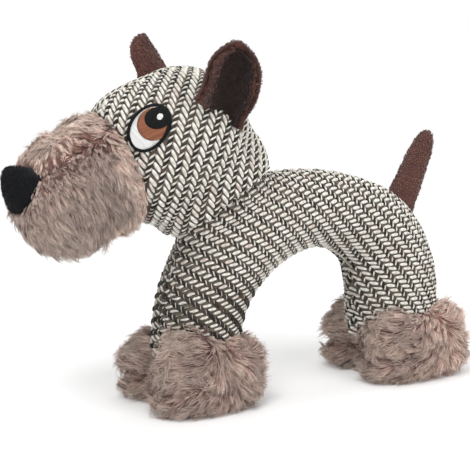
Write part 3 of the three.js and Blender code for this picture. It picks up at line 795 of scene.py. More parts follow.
# The back's plush where it wraps round the ear's edge, with painted light: lighter than the plush for the
# light on the rim
rim_pile = plush_material("rim_pile", 0.1, (0, 88, 52, 45), (0.6, 134, 88, 77), (1, 170, 122, 109))
plush_back = cloth_material("plush_back", (100, 63, 55), (72, 43, 38), 0.6)
lining_pile = fibre_material("lining_pile", shades((0, 28, 17, 16), (1, 56, 36, 32)), SHORT_TONES, 0.1)
lining_back = cloth_material("lining_back", (46, 30, 28), (28, 18, 17), 0.6)
nose_felt = cloth_material("nose_felt", (20, 22, 26), (10, 11, 13), 0.5, 0.03)
nose_fuzz = fibre_material("nose_fuzz", shades((0, 8, 9, 11), (1, 22, 24, 28)), SHORT_TONES, 0.05)
thread_materials = {
    "black_thread": thread_material("black_satin", (16, 17, 19), (8, 8, 9)),
    "white_thread": thread_material("white_satin", (220, 221, 220), (200, 201, 200)),
    "brown_thread": thread_material("brown_satin", (138, 90, 67), (116, 72, 52)),
}
stuffing_fibre = cloth_material("stuffing_fibre", (244, 242, 236), (212, 208, 200), 1.2)
bulb_vinyl = plastic_material("bulb_vinyl", (222, 226, 228), (200, 206, 210), (0.35, 0.5))
reed_plastic = plastic_material("reed_plastic", (236, 230, 208), (214, 206, 182), (0.25, 0.4))


# Fibres and yarn

STRAND_STEPS = np.array([0.06, 0.4, 0.74])
STRAND_TAPER = np.array([0.85, 1.0, 0.7])
STRAND_SIDES = 3
ROOT_DEPTH = 0.4
FLOOR_GAP = 0.4
WAVE_TURN = 5
TUFT_TONE_SHARE = 0.6
TUFT_SPREAD = 0.2
TUFT_LENGTHS = (0.55, 1.45)
TUFT_RISE_SPREAD = 11
STRAND_LENGTHS = (0.75, 1.12)
STRAND_WIDTHS = (0.75, 1.25)
PHASE_SPREAD = 0.4
PULL_CURVE = 1.5


def tubes(start, centres, across, up, end, sides, cells, places):
    """Closed tapered tubes through rings, with the UV map that fibre materials read.

    across and up are the half axes of each ring, and places are the rings' places from 0 to 1.
    """
    count, rings = centres.shape[:2]
    cosines, sines = circle(sides)
    spread = across[:, :, None] * cosines + up[:, :, None] * sines
    ring_points = (centres[:, :, None] + spread).reshape(count, rings * sides, 3)
    points = np.concatenate([start[:, None], ring_points, end[:, None]], axis=1)
    size = rings * sides + 2
    corners = []
    for k in range(sides):
        low, high = k / sides, (k + 1) / sides
        near = [(1 + r * sides + k, (low, place)) for r, place in enumerate(places)]
        far = [(1 + r * sides + (k + 1) % sides, (high, place)) for r, place in enumerate(places)]
        corners += [(0, ((low + high) / 2, 0)), far[0], near[0]]
        for r in range(rings - 1):
            corners += [near[r], far[r], far[r + 1], near[r], far[r + 1], near[r + 1]]
        corners += [near[-1], far[-1], (size - 1, ((low + high) / 2, 1))]
    indices, uv = zip(*corners)
    triangles = np.array(indices) + size * np.arange(count)[:, None]
    uv = np.repeat(np.array(uv)[None], count, axis=0)
    uv[..., 0] = (cells[:, None] + TONE_MARGIN + (1 - 2 * TONE_MARGIN) * uv[..., 0]) / TONES
    return points.reshape(-1, 3), triangles.reshape(-1, 3), uv.reshape(-1, 2)


def scatter(rng, shape, count, wanted):
    """Even random points on a shape with their smooth normals, where wanted(points) is true."""
    points, triangles = shape
    normals = corner_normals(points, triangles)
    a, b, c = points[triangles].transpose(1, 0, 2)
    areas = norm(np.cross(b - a, c - a))
    shares = np.cumsum(areas) / areas.sum()
    chosen = np.searchsorted(shares, (np.arange(count) + rng.random(count)) / count)
    chosen = triangles[chosen.clip(0, len(areas) - 1)]
    one, two = rng.random(count), rng.random(count)
    fold = one + two > 1
    one[fold], two[fold] = 1 - one[fold], 1 - two[fold]
    weights = np.stack([1 - one - two, one, two], axis=1)[:, :, None]
    places = (points[chosen] * weights).sum(1)
    ways = unit((normals[chosen] * weights).sum(1))
    keep = wanted(places)
    return places[keep], ways[keep]


def above_floor(points):
    return np.concatenate([points[..., :2], np.maximum(points[..., 2:], FLOOR_GAP)], axis=-1)


def grow(rng, roots, normals, comb, pile):
    """Strands of a pile on roots, lying along comb and gathered into tufts."""
    count = len(roots)
    seeds = rng.choice(count, max(1, count // pile.tuft), replace=False)
    tree = KDTree(len(seeds))
    for index, seed in enumerate(seeds):
        tree.insert(Vector(roots[seed]), index)
    tree.balance()
    tuft = np.array([tree.find(Vector(root))[1] for root in roots])
    comb = unit(comb - normals * dot(comb, normals))
    side = np.cross(normals, comb)
    aside = rng.normal(0, pile.wander, len(seeds))[tuft] + rng.normal(0, pile.stray, count)
    lie = comb * np.cos(aside)[:, None] + side * np.sin(aside)[:, None]
    side = np.cross(normals, lie)
    length = pile.length * rng.normal(1, TUFT_SPREAD, len(seeds))[tuft].clip(*TUFT_LENGTHS)
    length = (length * rng.uniform(*STRAND_LENGTHS, count) * pile.trim)[:, None]
    first = np.radians(pile.rise + rng.normal(0, TUFT_RISE_SPREAD, len(seeds))[tuft])
    bend = np.radians(pile.lie) - first
    phase = rng.uniform(0, 2 * np.pi, len(seeds))[tuft] + rng.normal(0, PHASE_SPREAD, count)

    def path(t):
        flat = ((np.sin(first + bend * t) - np.sin(first)) / bend)[:, None]
        high = ((np.cos(first) - np.cos(first + bend * t)) / bend)[:, None]
        wave = (pile.wave * t * np.sin(phase + WAVE_TURN * t))[:, None]
        return roots + length * (lie * flat + normals * high) + side * wave

    tip = path(1.0)
    pull = pile.pull * (tip[seeds][tuft] - tip)
    rings = np.stack([path(t) + pull * t**PULL_CURVE for t in STRAND_STEPS], axis=1)
    low, middle, high = rings.transpose(1, 0, 2)
    end = tip + pull
    heading = unit(np.stack([middle - low, high - low, end - middle], axis=1))
    across = unit(np.cross(np.broadcast_to(normals[:, None], heading.shape), heading))
    up = np.cross(heading, across)
    thick = pile.thick / 2 * rng.uniform(*STRAND_WIDTHS, count)[:, None, None] * STRAND_TAPER[None, :, None]
    tones = rng.integers(0, TONES, len(seeds))[tuft]
    cells = np.where(rng.random(count) < TUFT_TONE_SHARE, tones, rng.integers(0, TONES, count))
    start, rings, end = (above_floor(part) for part in (roots - normals * ROOT_DEPTH, rings, end))
    return tubes(start, rings, across * thick, up * thick, end, STRAND_SIDES, cells, STRAND_STEPS)


def named_rng(name):
    return np.random.default_rng(SEED + sum(map(ord, name)))


def lay_fur(name, roots, normals, comb, pile, body, slot, material, trim=None):
    if trim is not None:
        pile = pile._replace(**trim(roots, pile))
    return add_piece(name, grow(named_rng(name), roots, normals, comb(roots), pile), body, slot, material)


def make_fur(name, shape, count, wanted, comb, pile, body, slot, material, trim=None):
    roots, normals = scatter(named_rng(name), shape, count, wanted)
    return lay_fur(name, roots, normals, comb, pile, body, slot, material, trim)


def everywhere(points):
    return np.ones(len(points), dtype=bool)


# Body form


def smooth_curve(points, count):
    """Evenly spaced points on a centripetal Catmull-Rom curve."""
    points = np.vstack([2 * points[0] - points[1], points, 2 * points[-1] - points[-2]])
    t = np.linspace(0, 1, CURVE_STEPS, endpoint=False)[:, None]
    dense = []
    for i in range(1, len(points) - 2):
        p0, p1, p2, p3 = points[i - 1 : i + 3]
        d0, d1, d2 = np.sqrt(norm(np.diff(points[i - 1 : i + 3], axis=0)))
        m1 = d1 * ((p1 - p0) / d0 - (p2 - p0) / (d0 + d1) + (p2 - p1) / d1)
        m2 = d1 * ((p2 - p1) / d1 - (p3 - p1) / (d1 + d2) + (p3 - p2) / d2)
        rise = 3 * t**2 - 2 * t**3
        dense.append((1 - rise) * p1 + rise * p2 + (t**3 - 2 * t**2 + t) * m1 + (t**3 - t**2) * m2)
    dense = np.vstack(dense + [points[-2]])
    far = np.concatenate([[0], np.cumsum(norm(np.diff(dense, axis=0)))])
    even = np.linspace(0, far[-1], count)
    return np.stack([np.interp(even, far, dense[:, k]) for k in range(dense.shape[1])], axis=1)


arch = smooth_curve(np.array(ARCH, dtype=float) + [HEAD[0], 0, 0], BODY_STATIONS)
arch_centres = np.stack([arch[:, 0], np.zeros(BODY_STATIONS), arch[:, 1]], axis=1)
arch_radius = arch[:, 2]
arch_heading = unit(np.gradient(arch_centres, axis=0))
arch_outward = np.stack([-arch_heading[:, 2], np.zeros(BODY_STATIONS), arch_heading[:, 0]], axis=1)
arch_step = norm(arch_centres[1] - arch_centres[0])


def body_form():
    """The stuffed arch with the neck's stub, under its knit."""
    cosines, sines = circle(BODY_SIDES)
    around = arch_outward[:, None] * cosines - Y * sines
    rings = arch_centres[:, None] + around * (arch_radius - KNIT_DEPTH)[:, None, None]
    directions, triangles = ball_shape(4)
    middle = SEAT + NECK_UP * STUB_MIDDLE
    ball = ball_reach(directions, SEAT - middle, STUB_RADIUS)
    neck = ball_reach(directions, NECK - middle, NECK_RADIUS - KNIT_DEPTH, NECK_WIDTH)
    stub = middle + directions * smooth_min(ball, neck, CUT_BLEND)[:, None], triangles
    points, triangles = fuse([skin(rings[::2]), stub], BODY_VOXEL, BODY_SMOOTHING)
    from_seat = points - SEAT
    near_neck = inner(unit(from_seat), NECK_UP) > math.cos(math.radians(NECK_CONE))
    on_seam = (np.abs(points[:, 1]) < SEWN_HALF) & ~near_neck
    sewn = np.maximum(on_seam * 1.0, 1 - ease(*LEG_SEWN, points[:, 2]))
    sewn = np.maximum(sewn, (near_neck & (norm(from_seat) > NECK_SEWN_REACH)) * NECK_SEWN_HOLD)
    points, triangles = puff((points, triangles), sewn, BODY_SWELL)
    dent = SEAM_DENT * bell(points[:, 1], SEAM_HALF) * ~near_neck
    points = points - corner_normals(points, triangles) * dent[:, None]
    from_seat = points - SEAT
    far = norm(from_seat)[:, None]
    tilt = np.degrees(np.arccos(np.clip(dot(from_seat / far, NECK_UP), -1, 1)))
    hollow = WAD_INNER - WAD_GAP
    limit = hollow + (STUB_RADIUS - hollow) * ease(*WAD_MARGIN, tilt)
    return SEAT + from_seat * np.where(tilt < NECK_CONE, np.minimum(1, limit / far), 1), triangles


# Head form


def head_reach(directions):
    skull = ball_reach(directions, np.zeros(3), SKULL_RADIUS, HEAD_WIDTH)
    brow = ball_reach(directions, SEAM_FACING * BROW_REACH, BROW_RADIUS, HEAD_WIDTH)
    neck = ball_reach(directions, -NECK_UP * NECK_DROP, NECK_RADIUS, NECK_WIDTH)
    return smooth_max(smooth_max(skull, brow, HEAD_BLEND), neck, HEAD_BLEND)


def seat_entry(directions):
    """Distance from the head's centre down to the ball that the neck turns on."""
    drop = SEAT - HEAD
    a = inner(directions, drop)
    inside = a * a - (drop @ drop - SEAT_RADIUS**2)
    return np.where((inside > 0) & (a > 0), a - np.sqrt(np.maximum(inside, 0)), FAR)


def head_form():
    """The head under its knit, cut by the muzzle's seam and hollow where it sits on the neck."""
    directions, triangles = ball_shape(5)
    seam = plane_reach(directions, SEAM_FACING, SEAM_REACH - SEAM_GAPS["head"])
    reach = smooth_min(head_reach(directions) - HEAD_KNIT_DEPTH, seam, SEAM_BLEND)
    reach = smooth_min(reach, seat_entry(directions), CUT_BLEND)
    points = HEAD + directions * reach[:, None]
    cut = (from_seam(points) > -SEWN_MARGIN) | (norm(points - SEAT) < SEAT_RADIUS + SEWN_MARGIN)
    sewn = cut | (np.abs(points[:, 1]) < HEAD_SEWN_HALF)
    return puff((points, triangles), sewn * 1.0, HEAD_SWELL)


# Knit

PANEL_EDGE = 1
BODY_ANGLES = 61
HEAD_SPOKES = 96
HEAD_TURNS = 46
LEG_STEPS = np.array([-0.46, -0.3, -0.1, 0.1, 0.3, 0.46])
LEG_FULLNESS = np.array([0.5, 0.88, 1.0, 1.0, 0.88, 0.5])
LEG_LIFT = np.array([0.08, 0.34, 0.46, 0.46, 0.34, 0.08])
LEG_SINK = 0.3
PLACE_JITTER = 0.12
LEAN_JITTER = 0.05
LEG_LENGTHS = (0.95, 1.05)
LEG_WIDTHS = (0.93, 1.07)
COLUMN_STEP = 0.5


def cast(tree, origins, directions):
    """Where rays from inside leave a skin, with its outward normals there."""
    hits = np.zeros_like(directions)
    normals = np.zeros_like(directions)
    for index, (origin, way) in enumerate(zip(origins, directions)):
        place, normal, _, _ = tree.ray_cast(Vector(origin), Vector(way))
        if place is None:
            hits[index] = np.nan
        else:
            hits[index] = place
            normals[index] = normal
    normals *= np.sign(dot(normals, directions))
    return hits, normals


def lattice(layout):
    """Points of the knit on a flat panel, with the way its columns run."""
    points, ways = [], []
    low, high = np.radians(layout.turns)
    for radius in np.arange(*layout.radii, layout.wale):
        turns = np.arange(low, high, layout.row / radius)
        spoke = np.stack([np.cos(turns), np.sin(turns)], axis=1)
        points.append(np.array(layout.centre) + radius * spoke)
        ways.append(layout.down * quarter_turn(spoke))
    return np.vstack(points), np.vstack(ways)


class Panel:
    """One flat-cut side panel of a cover, laid over the stuffed form in rows of rays."""

    def __init__(self, shape, layout, origins, ways):
        self.layout = layout
        origins = np.broadcast_to(origins, ways.shape)
        hits, normals = cast(ray_tree(shape), origins.reshape(-1, 3), ways.reshape(-1, 3))
        self.places = hits.reshape(ways.shape)
        self.normals = normals.reshape(ways.shape)

    def stretch(self, flat, zero):
        """Sets how far along its row each place lies, between its flat distance and its arc from zero."""
        steps = norm(np.diff(self.places, axis=1))
        arc = np.concatenate([np.zeros((len(steps), 1)), np.cumsum(steps, axis=1)], axis=1)
        arc -= arc[:, [zero]]
        self.reaches = self.layout.wrap * arc + (1 - self.layout.wrap) * flat

    def look_up(self, low, high, share, reach):
        """Places and normals between two rows at a reach along them, and which of these lie on the panel."""
        rows = (1 - share) * self.reaches[low] + share * self.reaches[high]
        inside = (reach > rows[:, 0] - PANEL_EDGE) & (reach < rows[:, -1] + PANEL_EDGE)
        reach = reach.clip(rows[:, 0] + 0.01, rows[:, -1] - 0.01)
        column = (rows < reach[:, None]).sum(1).clip(1, rows.shape[1] - 1)
        every = np.arange(len(reach))
        before, after = rows[every, column - 1], rows[every, column]
        part = ((reach - before) / np.maximum(after - before, 1e-6))[:, None]

        def blend(table):
            ends = [(1 - part) * table[row, column - 1] + part * table[row, column] for row in (low, high)]
            return (1 - share) * ends[0] + share * ends[1]

        return blend(self.places), unit(blend(self.normals)), inside


class BodyPanel(Panel):
    """A side of the body's cover, with rows round the arch from belly to back."""

    def __init__(self, shape, side):
        turns = np.linspace(np.pi, 0, BODY_ANGLES)
        ways = arch_outward[:, None] * np.cos(turns)[:, None] + side * Y * np.sin(turns)[:, None]
        super().__init__(shape, BODY_LAYOUT, arch_centres[:, None], ways)
        self.stretch(inner(self.places - arch_centres[:, None], arch_outward[:, None]), BODY_ANGLES // 2)

    def lay(self, flat):
        x, z = flat.T
        near = ((x[:, None] - arch[:, 0]) ** 2 + (z[:, None] - arch[:, 1]) ** 2).argmin(1)
        apart = np.stack([x - arch[near, 0], np.zeros(len(x)), z - arch[near, 1]], axis=1)
        station = near + inner(apart, arch_heading[near]) / arch_step
        on_arch = (station > 0) & (station < BODY_STATIONS - 1)
        station = station.clip(0, BODY_STATIONS - 1.001)
        low = station.astype(int)
        offset = inner(apart, arch_outward[near])
        places, normals, inside = self.look_up(low, low + 1, (station - low)[:, None], offset)
        return places, normals, inside & on_arch


class HeadPanel(Panel):
    """A side of the head's cover, with rows out from the middle of the dog's cheek."""

    def __init__(self, shape, side):
        cosines, sines = circle(HEAD_SPOKES)
        spokes = cosines * X + sines * Z
        turns = np.linspace(0, np.pi / 2, HEAD_TURNS)
        ways = np.cos(turns)[:, None] * side * Y + np.sin(turns)[:, None] * spokes[:, None]
        super().__init__(shape, HEAD_LAYOUT, HEAD, ways)
        self.stretch(norm((self.places - self.places[:, :1]) * [1, 0, 1]), 0)

    def lay(self, flat):
        x, z = flat.T
        angle = (np.arctan2(z, x) / (2 * np.pi) * HEAD_SPOKES) % HEAD_SPOKES
        low = angle.astype(int) % HEAD_SPOKES
        share = (angle - np.floor(angle))[:, None]
        return self.look_up(low, (low + 1) % HEAD_SPOKES, share, np.hypot(x, z))


def knit(rng, panel, leg, wanted):
    """The yarn legs of one colour over a panel, as plump dashes cut off along their column."""
    layout = panel.layout
    points, ways = lattice(layout)
    turned = quarter_turn(ways)
    middle = points + turned * leg.aside * layout.wale + ways * leg.onward * layout.row
    middle += rng.normal(0, PLACE_JITTER, points.shape)
    lean = math.radians(leg.lean) + rng.normal(0, LEAN_JITTER, len(points))
    way = ways * np.cos(lean)[:, None] + turned * np.sin(lean)[:, None]
    length = leg.length * layout.wale * rng.uniform(*LEG_LENGTHS, len(points))
    place, _, inside = panel.lay(middle)
    keep = inside & np.isfinite(place).all(1)
    keep[keep] = wanted(place[keep])
    middle, way, length, ways = middle[keep], way[keep], length[keep], ways[keep]
    column = unit(panel.lay(middle + ways * COLUMN_STEP)[0] - place[keep])
    spots, outs = [], []
    for step in [-0.5, *LEG_STEPS, 0.5]:
        place, out, _ = panel.lay(middle + way * (length * step)[:, None])
        spots.append(place)
        outs.append(out)
    spots, outs = np.stack(spots, axis=1), np.stack(outs, axis=1)
    whole = np.isfinite(spots).all((1, 2)) & np.isfinite(column).all(1)
    spots, outs, column = spots[whole], outs[whole], column[whole][:, None]
    count = len(spots)
    fore = ease(*FORELEG_Z, spots[:, 0, 2]) * ease(*FORELEG_X, spots[:, 0, 0])
    full = rng.uniform(*LEG_WIDTHS, count) * (1 + leg.fore * fore)
    size = full[:, None, None] * LEG_FULLNESS[None, :, None]
    outs = unit(outs[:, 1:-1])
    height = leg.height * layout.wale
    centres = spots[:, 1:-1] + outs * (height * LEG_LIFT)[None, :, None]
    across = np.cross(outs, unit(np.gradient(centres, axis=1)))
    across = column * np.sign(dot(column, across)) / math.sin(math.radians(abs(leg.lean)))
    across = across * (leg.width * layout.wale / 2 * size)
    cells = rng.integers(0, TONES, count)
    start = spots[:, 0] - outs[:, 0] * LEG_SINK
    end = spots[:, -1] - outs[:, -1] * LEG_SINK
    return tubes(start, centres, across, outs * (height / 2 * size), end, leg.sides, cells, LEG_STEPS + 0.5)


EYE_OUT = facing(EYE_TURN, EYE_LIFT)
EYE_ACROSS = unit(np.cross(Z, EYE_OUT))
EYE_UP = np.cross(EYE_OUT, EYE_ACROSS)
EYE_SEAT = HEAD + EYE_OUT * head_reach(EYE_OUT[None])[0]


def in_outline(a, b, share=1, rim=0):
    """Which points of the eye's plane lie inside a share of its outline, drawn in by rim."""
    long, short = turn(a, b, EYE_TILT)
    return (long / (EYE_LONG - rim)) ** 2 + (short / (EYE_SHORT - rim)) ** 2 < share**2


def on_body_cover(points):
    in_neck = norm((points - NECK) / [1, NECK_WIDTH, 1]) < NECK_RADIUS - NECK_COVER_DEPTH
    return (points[:, 2] > KNIT_FLOOR) & ~(in_neck & (norm(points - SEAT) > NECK_COVER_REACH))


def on_head_cover(points):
    clear = (from_seam(points) < -SEAM_GAPS["knit"]) & (norm(points - SEAT) > SEAT_RADIUS + SEAT_GAP)
    left = np.stack([points[:, 0], -np.abs(points[:, 1]), points[:, 2]], axis=1) - EYE_SEAT
    return clear & ~in_outline(left @ EYE_ACROSS, left @ EYE_UP, EYE_COVER)


def make_knit(name, panel, wanted, body, node):
    rng = np.random.default_rng(SEED)
    cream, pale, dark = (knit(rng, panel, leg, wanted) for leg in panel.layout.legs.values())
    made = add_piece(name, join([cream, pale, dark]), body, "knit", cream_yarn, [node])
    made.data.materials.append(dark_yarn)
    which = np.zeros(len(made.data.polygons), dtype=np.int32)
    which[-len(dark[1]) :] = 1
    made.data.polygons.foreach_set("material_index", which)


body_shape = body_form()
BODY_FILLINGS = ["foreleg_filling", "shoulder_filling", "back_filling_front", "back_filling_rear"]
BODY_FILLINGS += ["rump_filling", "hindleg_filling"]
add_pad("body_cloth", body_shape, "torso", "knit", knit_back, BODY_FILLINGS)
head_shape = head_form()
add_pad("head_cloth", head_shape, "head", "knit", knit_back, ["head_filling"])
for side, sign in SIDES.items():
    body_panel = BodyPanel(body_shape, sign)
    make_knit(f"body_knit_{side}", body_panel, on_body_cover, "torso", f"body_cover_{side}")
    head_panel = HeadPanel(head_shape, sign)
    make_knit(f"head_knit_{side}", head_panel, on_head_cover, "head", f"head_cover_{side}")


# Nose and muzzle

NOSE_MIDDLE = np.array(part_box("nose"))[:, 2].mean() / MM
NOSE_CORNERS = np.array(NOSE_SIDE + [(-across, up) for across, up in NOSE_SIDE])


def nose_recede(across, up):
    """How far the nose's face lies back: more toward its sides and its lower point."""
    return NOSE_RAKE * (NOSE_HALF_HEIGHT - up) + NOSE_WRAP * (across / NOSE_HALF_WIDTH) ** 2


NOSE_SEAT = np.array([NOSE_FACE + nose_recede(0, 0), 0, NOSE_MIDDLE])


def nose_outline(count):
    """A rounded triangle with a broad top, as points across and up."""
    ways = np.hstack(circle(count))
    outline = NOSE_CORNERS[(ways @ NOSE_CORNERS.T).argmax(1)] + NOSE_ROUND * ways
    outline = np.vstack([outline, outline[:1]])
    far = np.concatenate([[0], np.cumsum(norm(np.diff(outline, axis=0)))])
    even = np.linspace(0, far[-1], count, endpoint=False)
    across, up = (np.interp(even, far, outline[:, k]) for k in range(2))
    return NOSE_HALF_WIDTH * across, NOSE_HALF_HEIGHT * up


def nose_form():
    """A plump shield of a pad, raked back to its lower point and wrapped round the muzzle."""
    across, up = nose_outline(NOSE_POINTS)
    rings = []
    for share, depth in NOSE_SECTIONS:
        y, z = turn(share * across, share * up + (1 - share) * NOSE_TOP_DRAW, NOSE_ROLL)
        rings.append(np.stack([NOSE_FACE + nose_recede(y, z) - depth, y, NOSE_MIDDLE + z], axis=1))
    return skin(rings)


def nose_share(points):
    """1 on the nose's edge, less within and more outside."""
    across, up = turn(points[:, 1], points[:, 2] - NOSE_MIDDLE, -NOSE_ROLL)
    ways = np.hstack(circle(NOSE_EDGE_WAYS))
    edge = (ways @ NOSE_CORNERS.T).max(1) + NOSE_ROUND
    shares = np.stack([across / NOSE_HALF_WIDTH, up / NOSE_HALF_HEIGHT], axis=1)
    return (shares @ ways.T / edge).max(1)


def behind_face(points):
    """How far points lie behind the nose's face, along x."""
    x, y, z = points.T
    return x - nose_recede(y, z - NOSE_MIDDLE) - NOSE_FACE


def muzzle_form():
    """The muzzle's cloth under its pile, flat where it is sewn to the head and pressed in by the nose."""
    directions, triangles = ball_shape(5)
    reach = None
    for x, z, radius in MUZZLE_BALLS:
        ball = ball_reach(directions, HEAD + x * X + z * Z - MUZZLE, radius)
        reach = ball if reach is None else smooth_max(reach, ball, MUZZLE_BLEND)
    seam = plane_reach(directions, -SEAM_FACING, from_seam(MUZZLE) - SEAM_GAPS["muzzle"])
    points = MUZZLE + directions * smooth_min(reach - MUZZLE_PILE, seam, SEAM_BLEND)[:, None]
    points, triangles = puff((points, triangles), (from_seam(points) < MUZZLE_SEWN) * 1.0, MUZZLE_SWELL)
    weight = ease(*NOSE_PRESSED, nose_share(points)) * (points[:, 0] < MUZZLE[0])
    points[:, 0] += weight * np.maximum(NOSE_SINK - behind_face(points), 0)
    behind = np.minimum(from_seam(points) - SEAM_GAPS["least"], 0)
    return points - behind[:, None] * SEAM_FACING, triangles


def above_parting(points):
    return points[:, 2] - PARTING_Z - PARTING_SLOPE * (points[:, 0] - PARTING_X)


def muzzle_comb(points):
    """The way the muzzle's fur lies: over the top, down below the parting and away from the nose."""
    top = ease(-COMB_BLEND, COMB_BLEND, above_parting(points)[:, None])
    hang = FUR_HANG + FUR_SPREAD * points[:, [1]] * Y
    apart = points - NOSE_SEAT
    push = NOSE_PUSH * bell(norm(apart)[:, None], NOSE_PUSH_REACH) * unit(apart)
    return (1 - top) * hang + top * FUR_OVER + push + swirl(points, MUZZLE_SWIRLS)


def muzzle_trim(roots, pile):
    """Shorter fur by the seam, on top and round the nose, and short upright fur along the parting."""
    back = from_seam(roots)
    over = above_parting(roots)
    beside = ease(*PARTING_TRIM_BESIDE, np.abs(roots[:, 1]))
    wander = PARTING_TRIM_WANDER * drift(roots, PARTING_SCALE)[:, 2]
    gap = bell(over + wander, PARTING_TRIM_HALF) * ease(*PARTING_TRIM_BACK, back) * beside
    top = ease(*TOP_OVER, over)
    front = ease(*NOSE_TRIM_SHARE, nose_share(roots)) * (roots[:, 0] < MUZZLE[0])
    trim = (1 - SEAM_TRIM * ease(*SEAM_TRIM_BACK, back)) * (1 - PARTING_TRIM * gap)
    trim = trim * (1 - TOP_TRIM * top * ease(*TOP_TRIM_BACK, back)) * (1 - NOSE_TRIM * front)
    return {"trim": trim, "rise": pile.rise + PARTING_RISE * gap - TOP_LIE * top}


def in_parting(points):
    """Ragged patches along the parting, where the roots show."""
    wander = PATCH_WANDER * drift(points, PARTING_SCALE)[:, 2]
    ragged = np.abs(above_parting(points) + wander) < PARTING_HALF
    ragged &= (from_seam(points) > PATCH_FROM_SEAM) & (np.abs(points[:, 1]) > PARTING_FROM_RIDGE)
    return ragged & (drift(points, PATCH_SCALE)[:, 1] > PATCH_LEVEL)


def has_muzzle_fur(points):
    under_nose = (nose_share(points) < NOSE_COVERS) & (points[:, 0] < MUZZLE[0] - NOSE_FRONT)
    return (from_seam(points) > SEAM_GAPS["fur"]) & ~under_nose


def make_muzzle_fur():
    roots, ways = scatter(np.random.default_rng(SEED), muzzle_shape, STRANDS["muzzle"], has_muzzle_fur)
    height = roots[:, 2]
    parted = in_parting(roots)
    top = (above_parting(roots) > 0) & (height > CHEEK_FLOOR)
    ragged = from_seam(roots) + REAR_WANDER * drift(roots, REAR_SCALE)[:, 0]
    rear = ragged < REAR_REACH + REAR_CHIN_REACH * ease(*REAR_CHIN_Z, height)
    flank = ~(top | rear | parted)
    parts = {
        "cheek": (flank & (height > CHEEK_FLOOR), fur_pile),
        "jowl": (flank & (height <= CHEEK_FLOOR) & (height > JOWL_FLOOR), fur_pile),
        "chin": (flank & (height <= JOWL_FLOOR), fur_pile),
        # the top's fur is the lighter copy with painted light
        "top": (top & ~parted, top_pile),
        # the seam's fur is the much lighter copy with painted light
        "seam": (rear & ~top & ~parted, seam_pile),
        "parting": (parted, parting_pile),
    }
    for side, sign in SIDES.items():
        for part, (chosen, material) in parts.items():
            chosen = chosen & (roots[:, 1] * sign > 0)
            name = f"muzzle_fur_{part}_{side}"
            grown = roots[chosen], ways[chosen], muzzle_comb, FUR
            lay_fur(name, *grown, "head", "fur", material, muzzle_trim)


def on_face(points):
    return behind_face(points) < NOSE_FUZZ_DEPTH


def nose_comb(points):
    return points - NOSE_SEAT + Z * NOSE_COMB_LIFT


nose_shape = nose_form()
muzzle_shape = muzzle_form()
add_pad("muzzle_pad", muzzle_shape, "head", "fur", fur_back, ["muzzle_filling", "muzzle_cover"])
add_pad("nose_pad", nose_shape, "head", "felt", nose_felt, ["nose"])
make_fur("nose_fuzz", nose_shape, STRANDS["nose"], on_face, nose_comb, FUZZ, "head", "felt", nose_fuzz)
make_muzzle_fur()


# Feet


def foot_form(centre, half, leg, blunt, toe_rise):
    """A boot's cloth under its pile: a squared ball, flat on the floor, with a sloping toe and a crease."""
    directions, triangles = ball_shape(4)
    shares = np.abs(directions / (half - FOOT_PILE)) ** FOOT_SQUARENESS
    points = centre + directions * (shares.sum(1) ** (-1 / FOOT_SQUARENESS))[:, None]
    x, _, z = points.T
    z[:] = smooth_max(z, np.full(len(z), SOLE_Z), SOLE_BLEND)
    toe = ease(*TOE_X, leg[0] - x)
    x += toe * (blunt + TOE_SLOPE * ease(*TOE_SLOPE_Z, z))
    heel = ease(*HEEL_X, x - leg[0])
    z += (toe_rise * toe + HEEL_RISE * heel) * ease(*RISE_Z, z)
    sewn = (z < FOOT_SEWN) | (z > FOOT_TOP - FOOT_PILE - FOOT_SEWN)
    points, triangles = puff((points, triangles), sewn * 1.0, FOOT_SWELL)
    x, _, z = points.T
    ahead = ease(*FOOT_CREASE_X, leg[0] + FOOT_CREASE_AHEAD - x)
    crease = bell(z - FOOT_CREASE_Z, FOOT_CREASE_HALF) * ahead
    points[:, :2] -= FOOT_CREASE * crease[:, None] * unit(points[:, :2] - centre[:2])
    z[:] = np.maximum(z, FOOT_LEAST_Z)
    return points, triangles


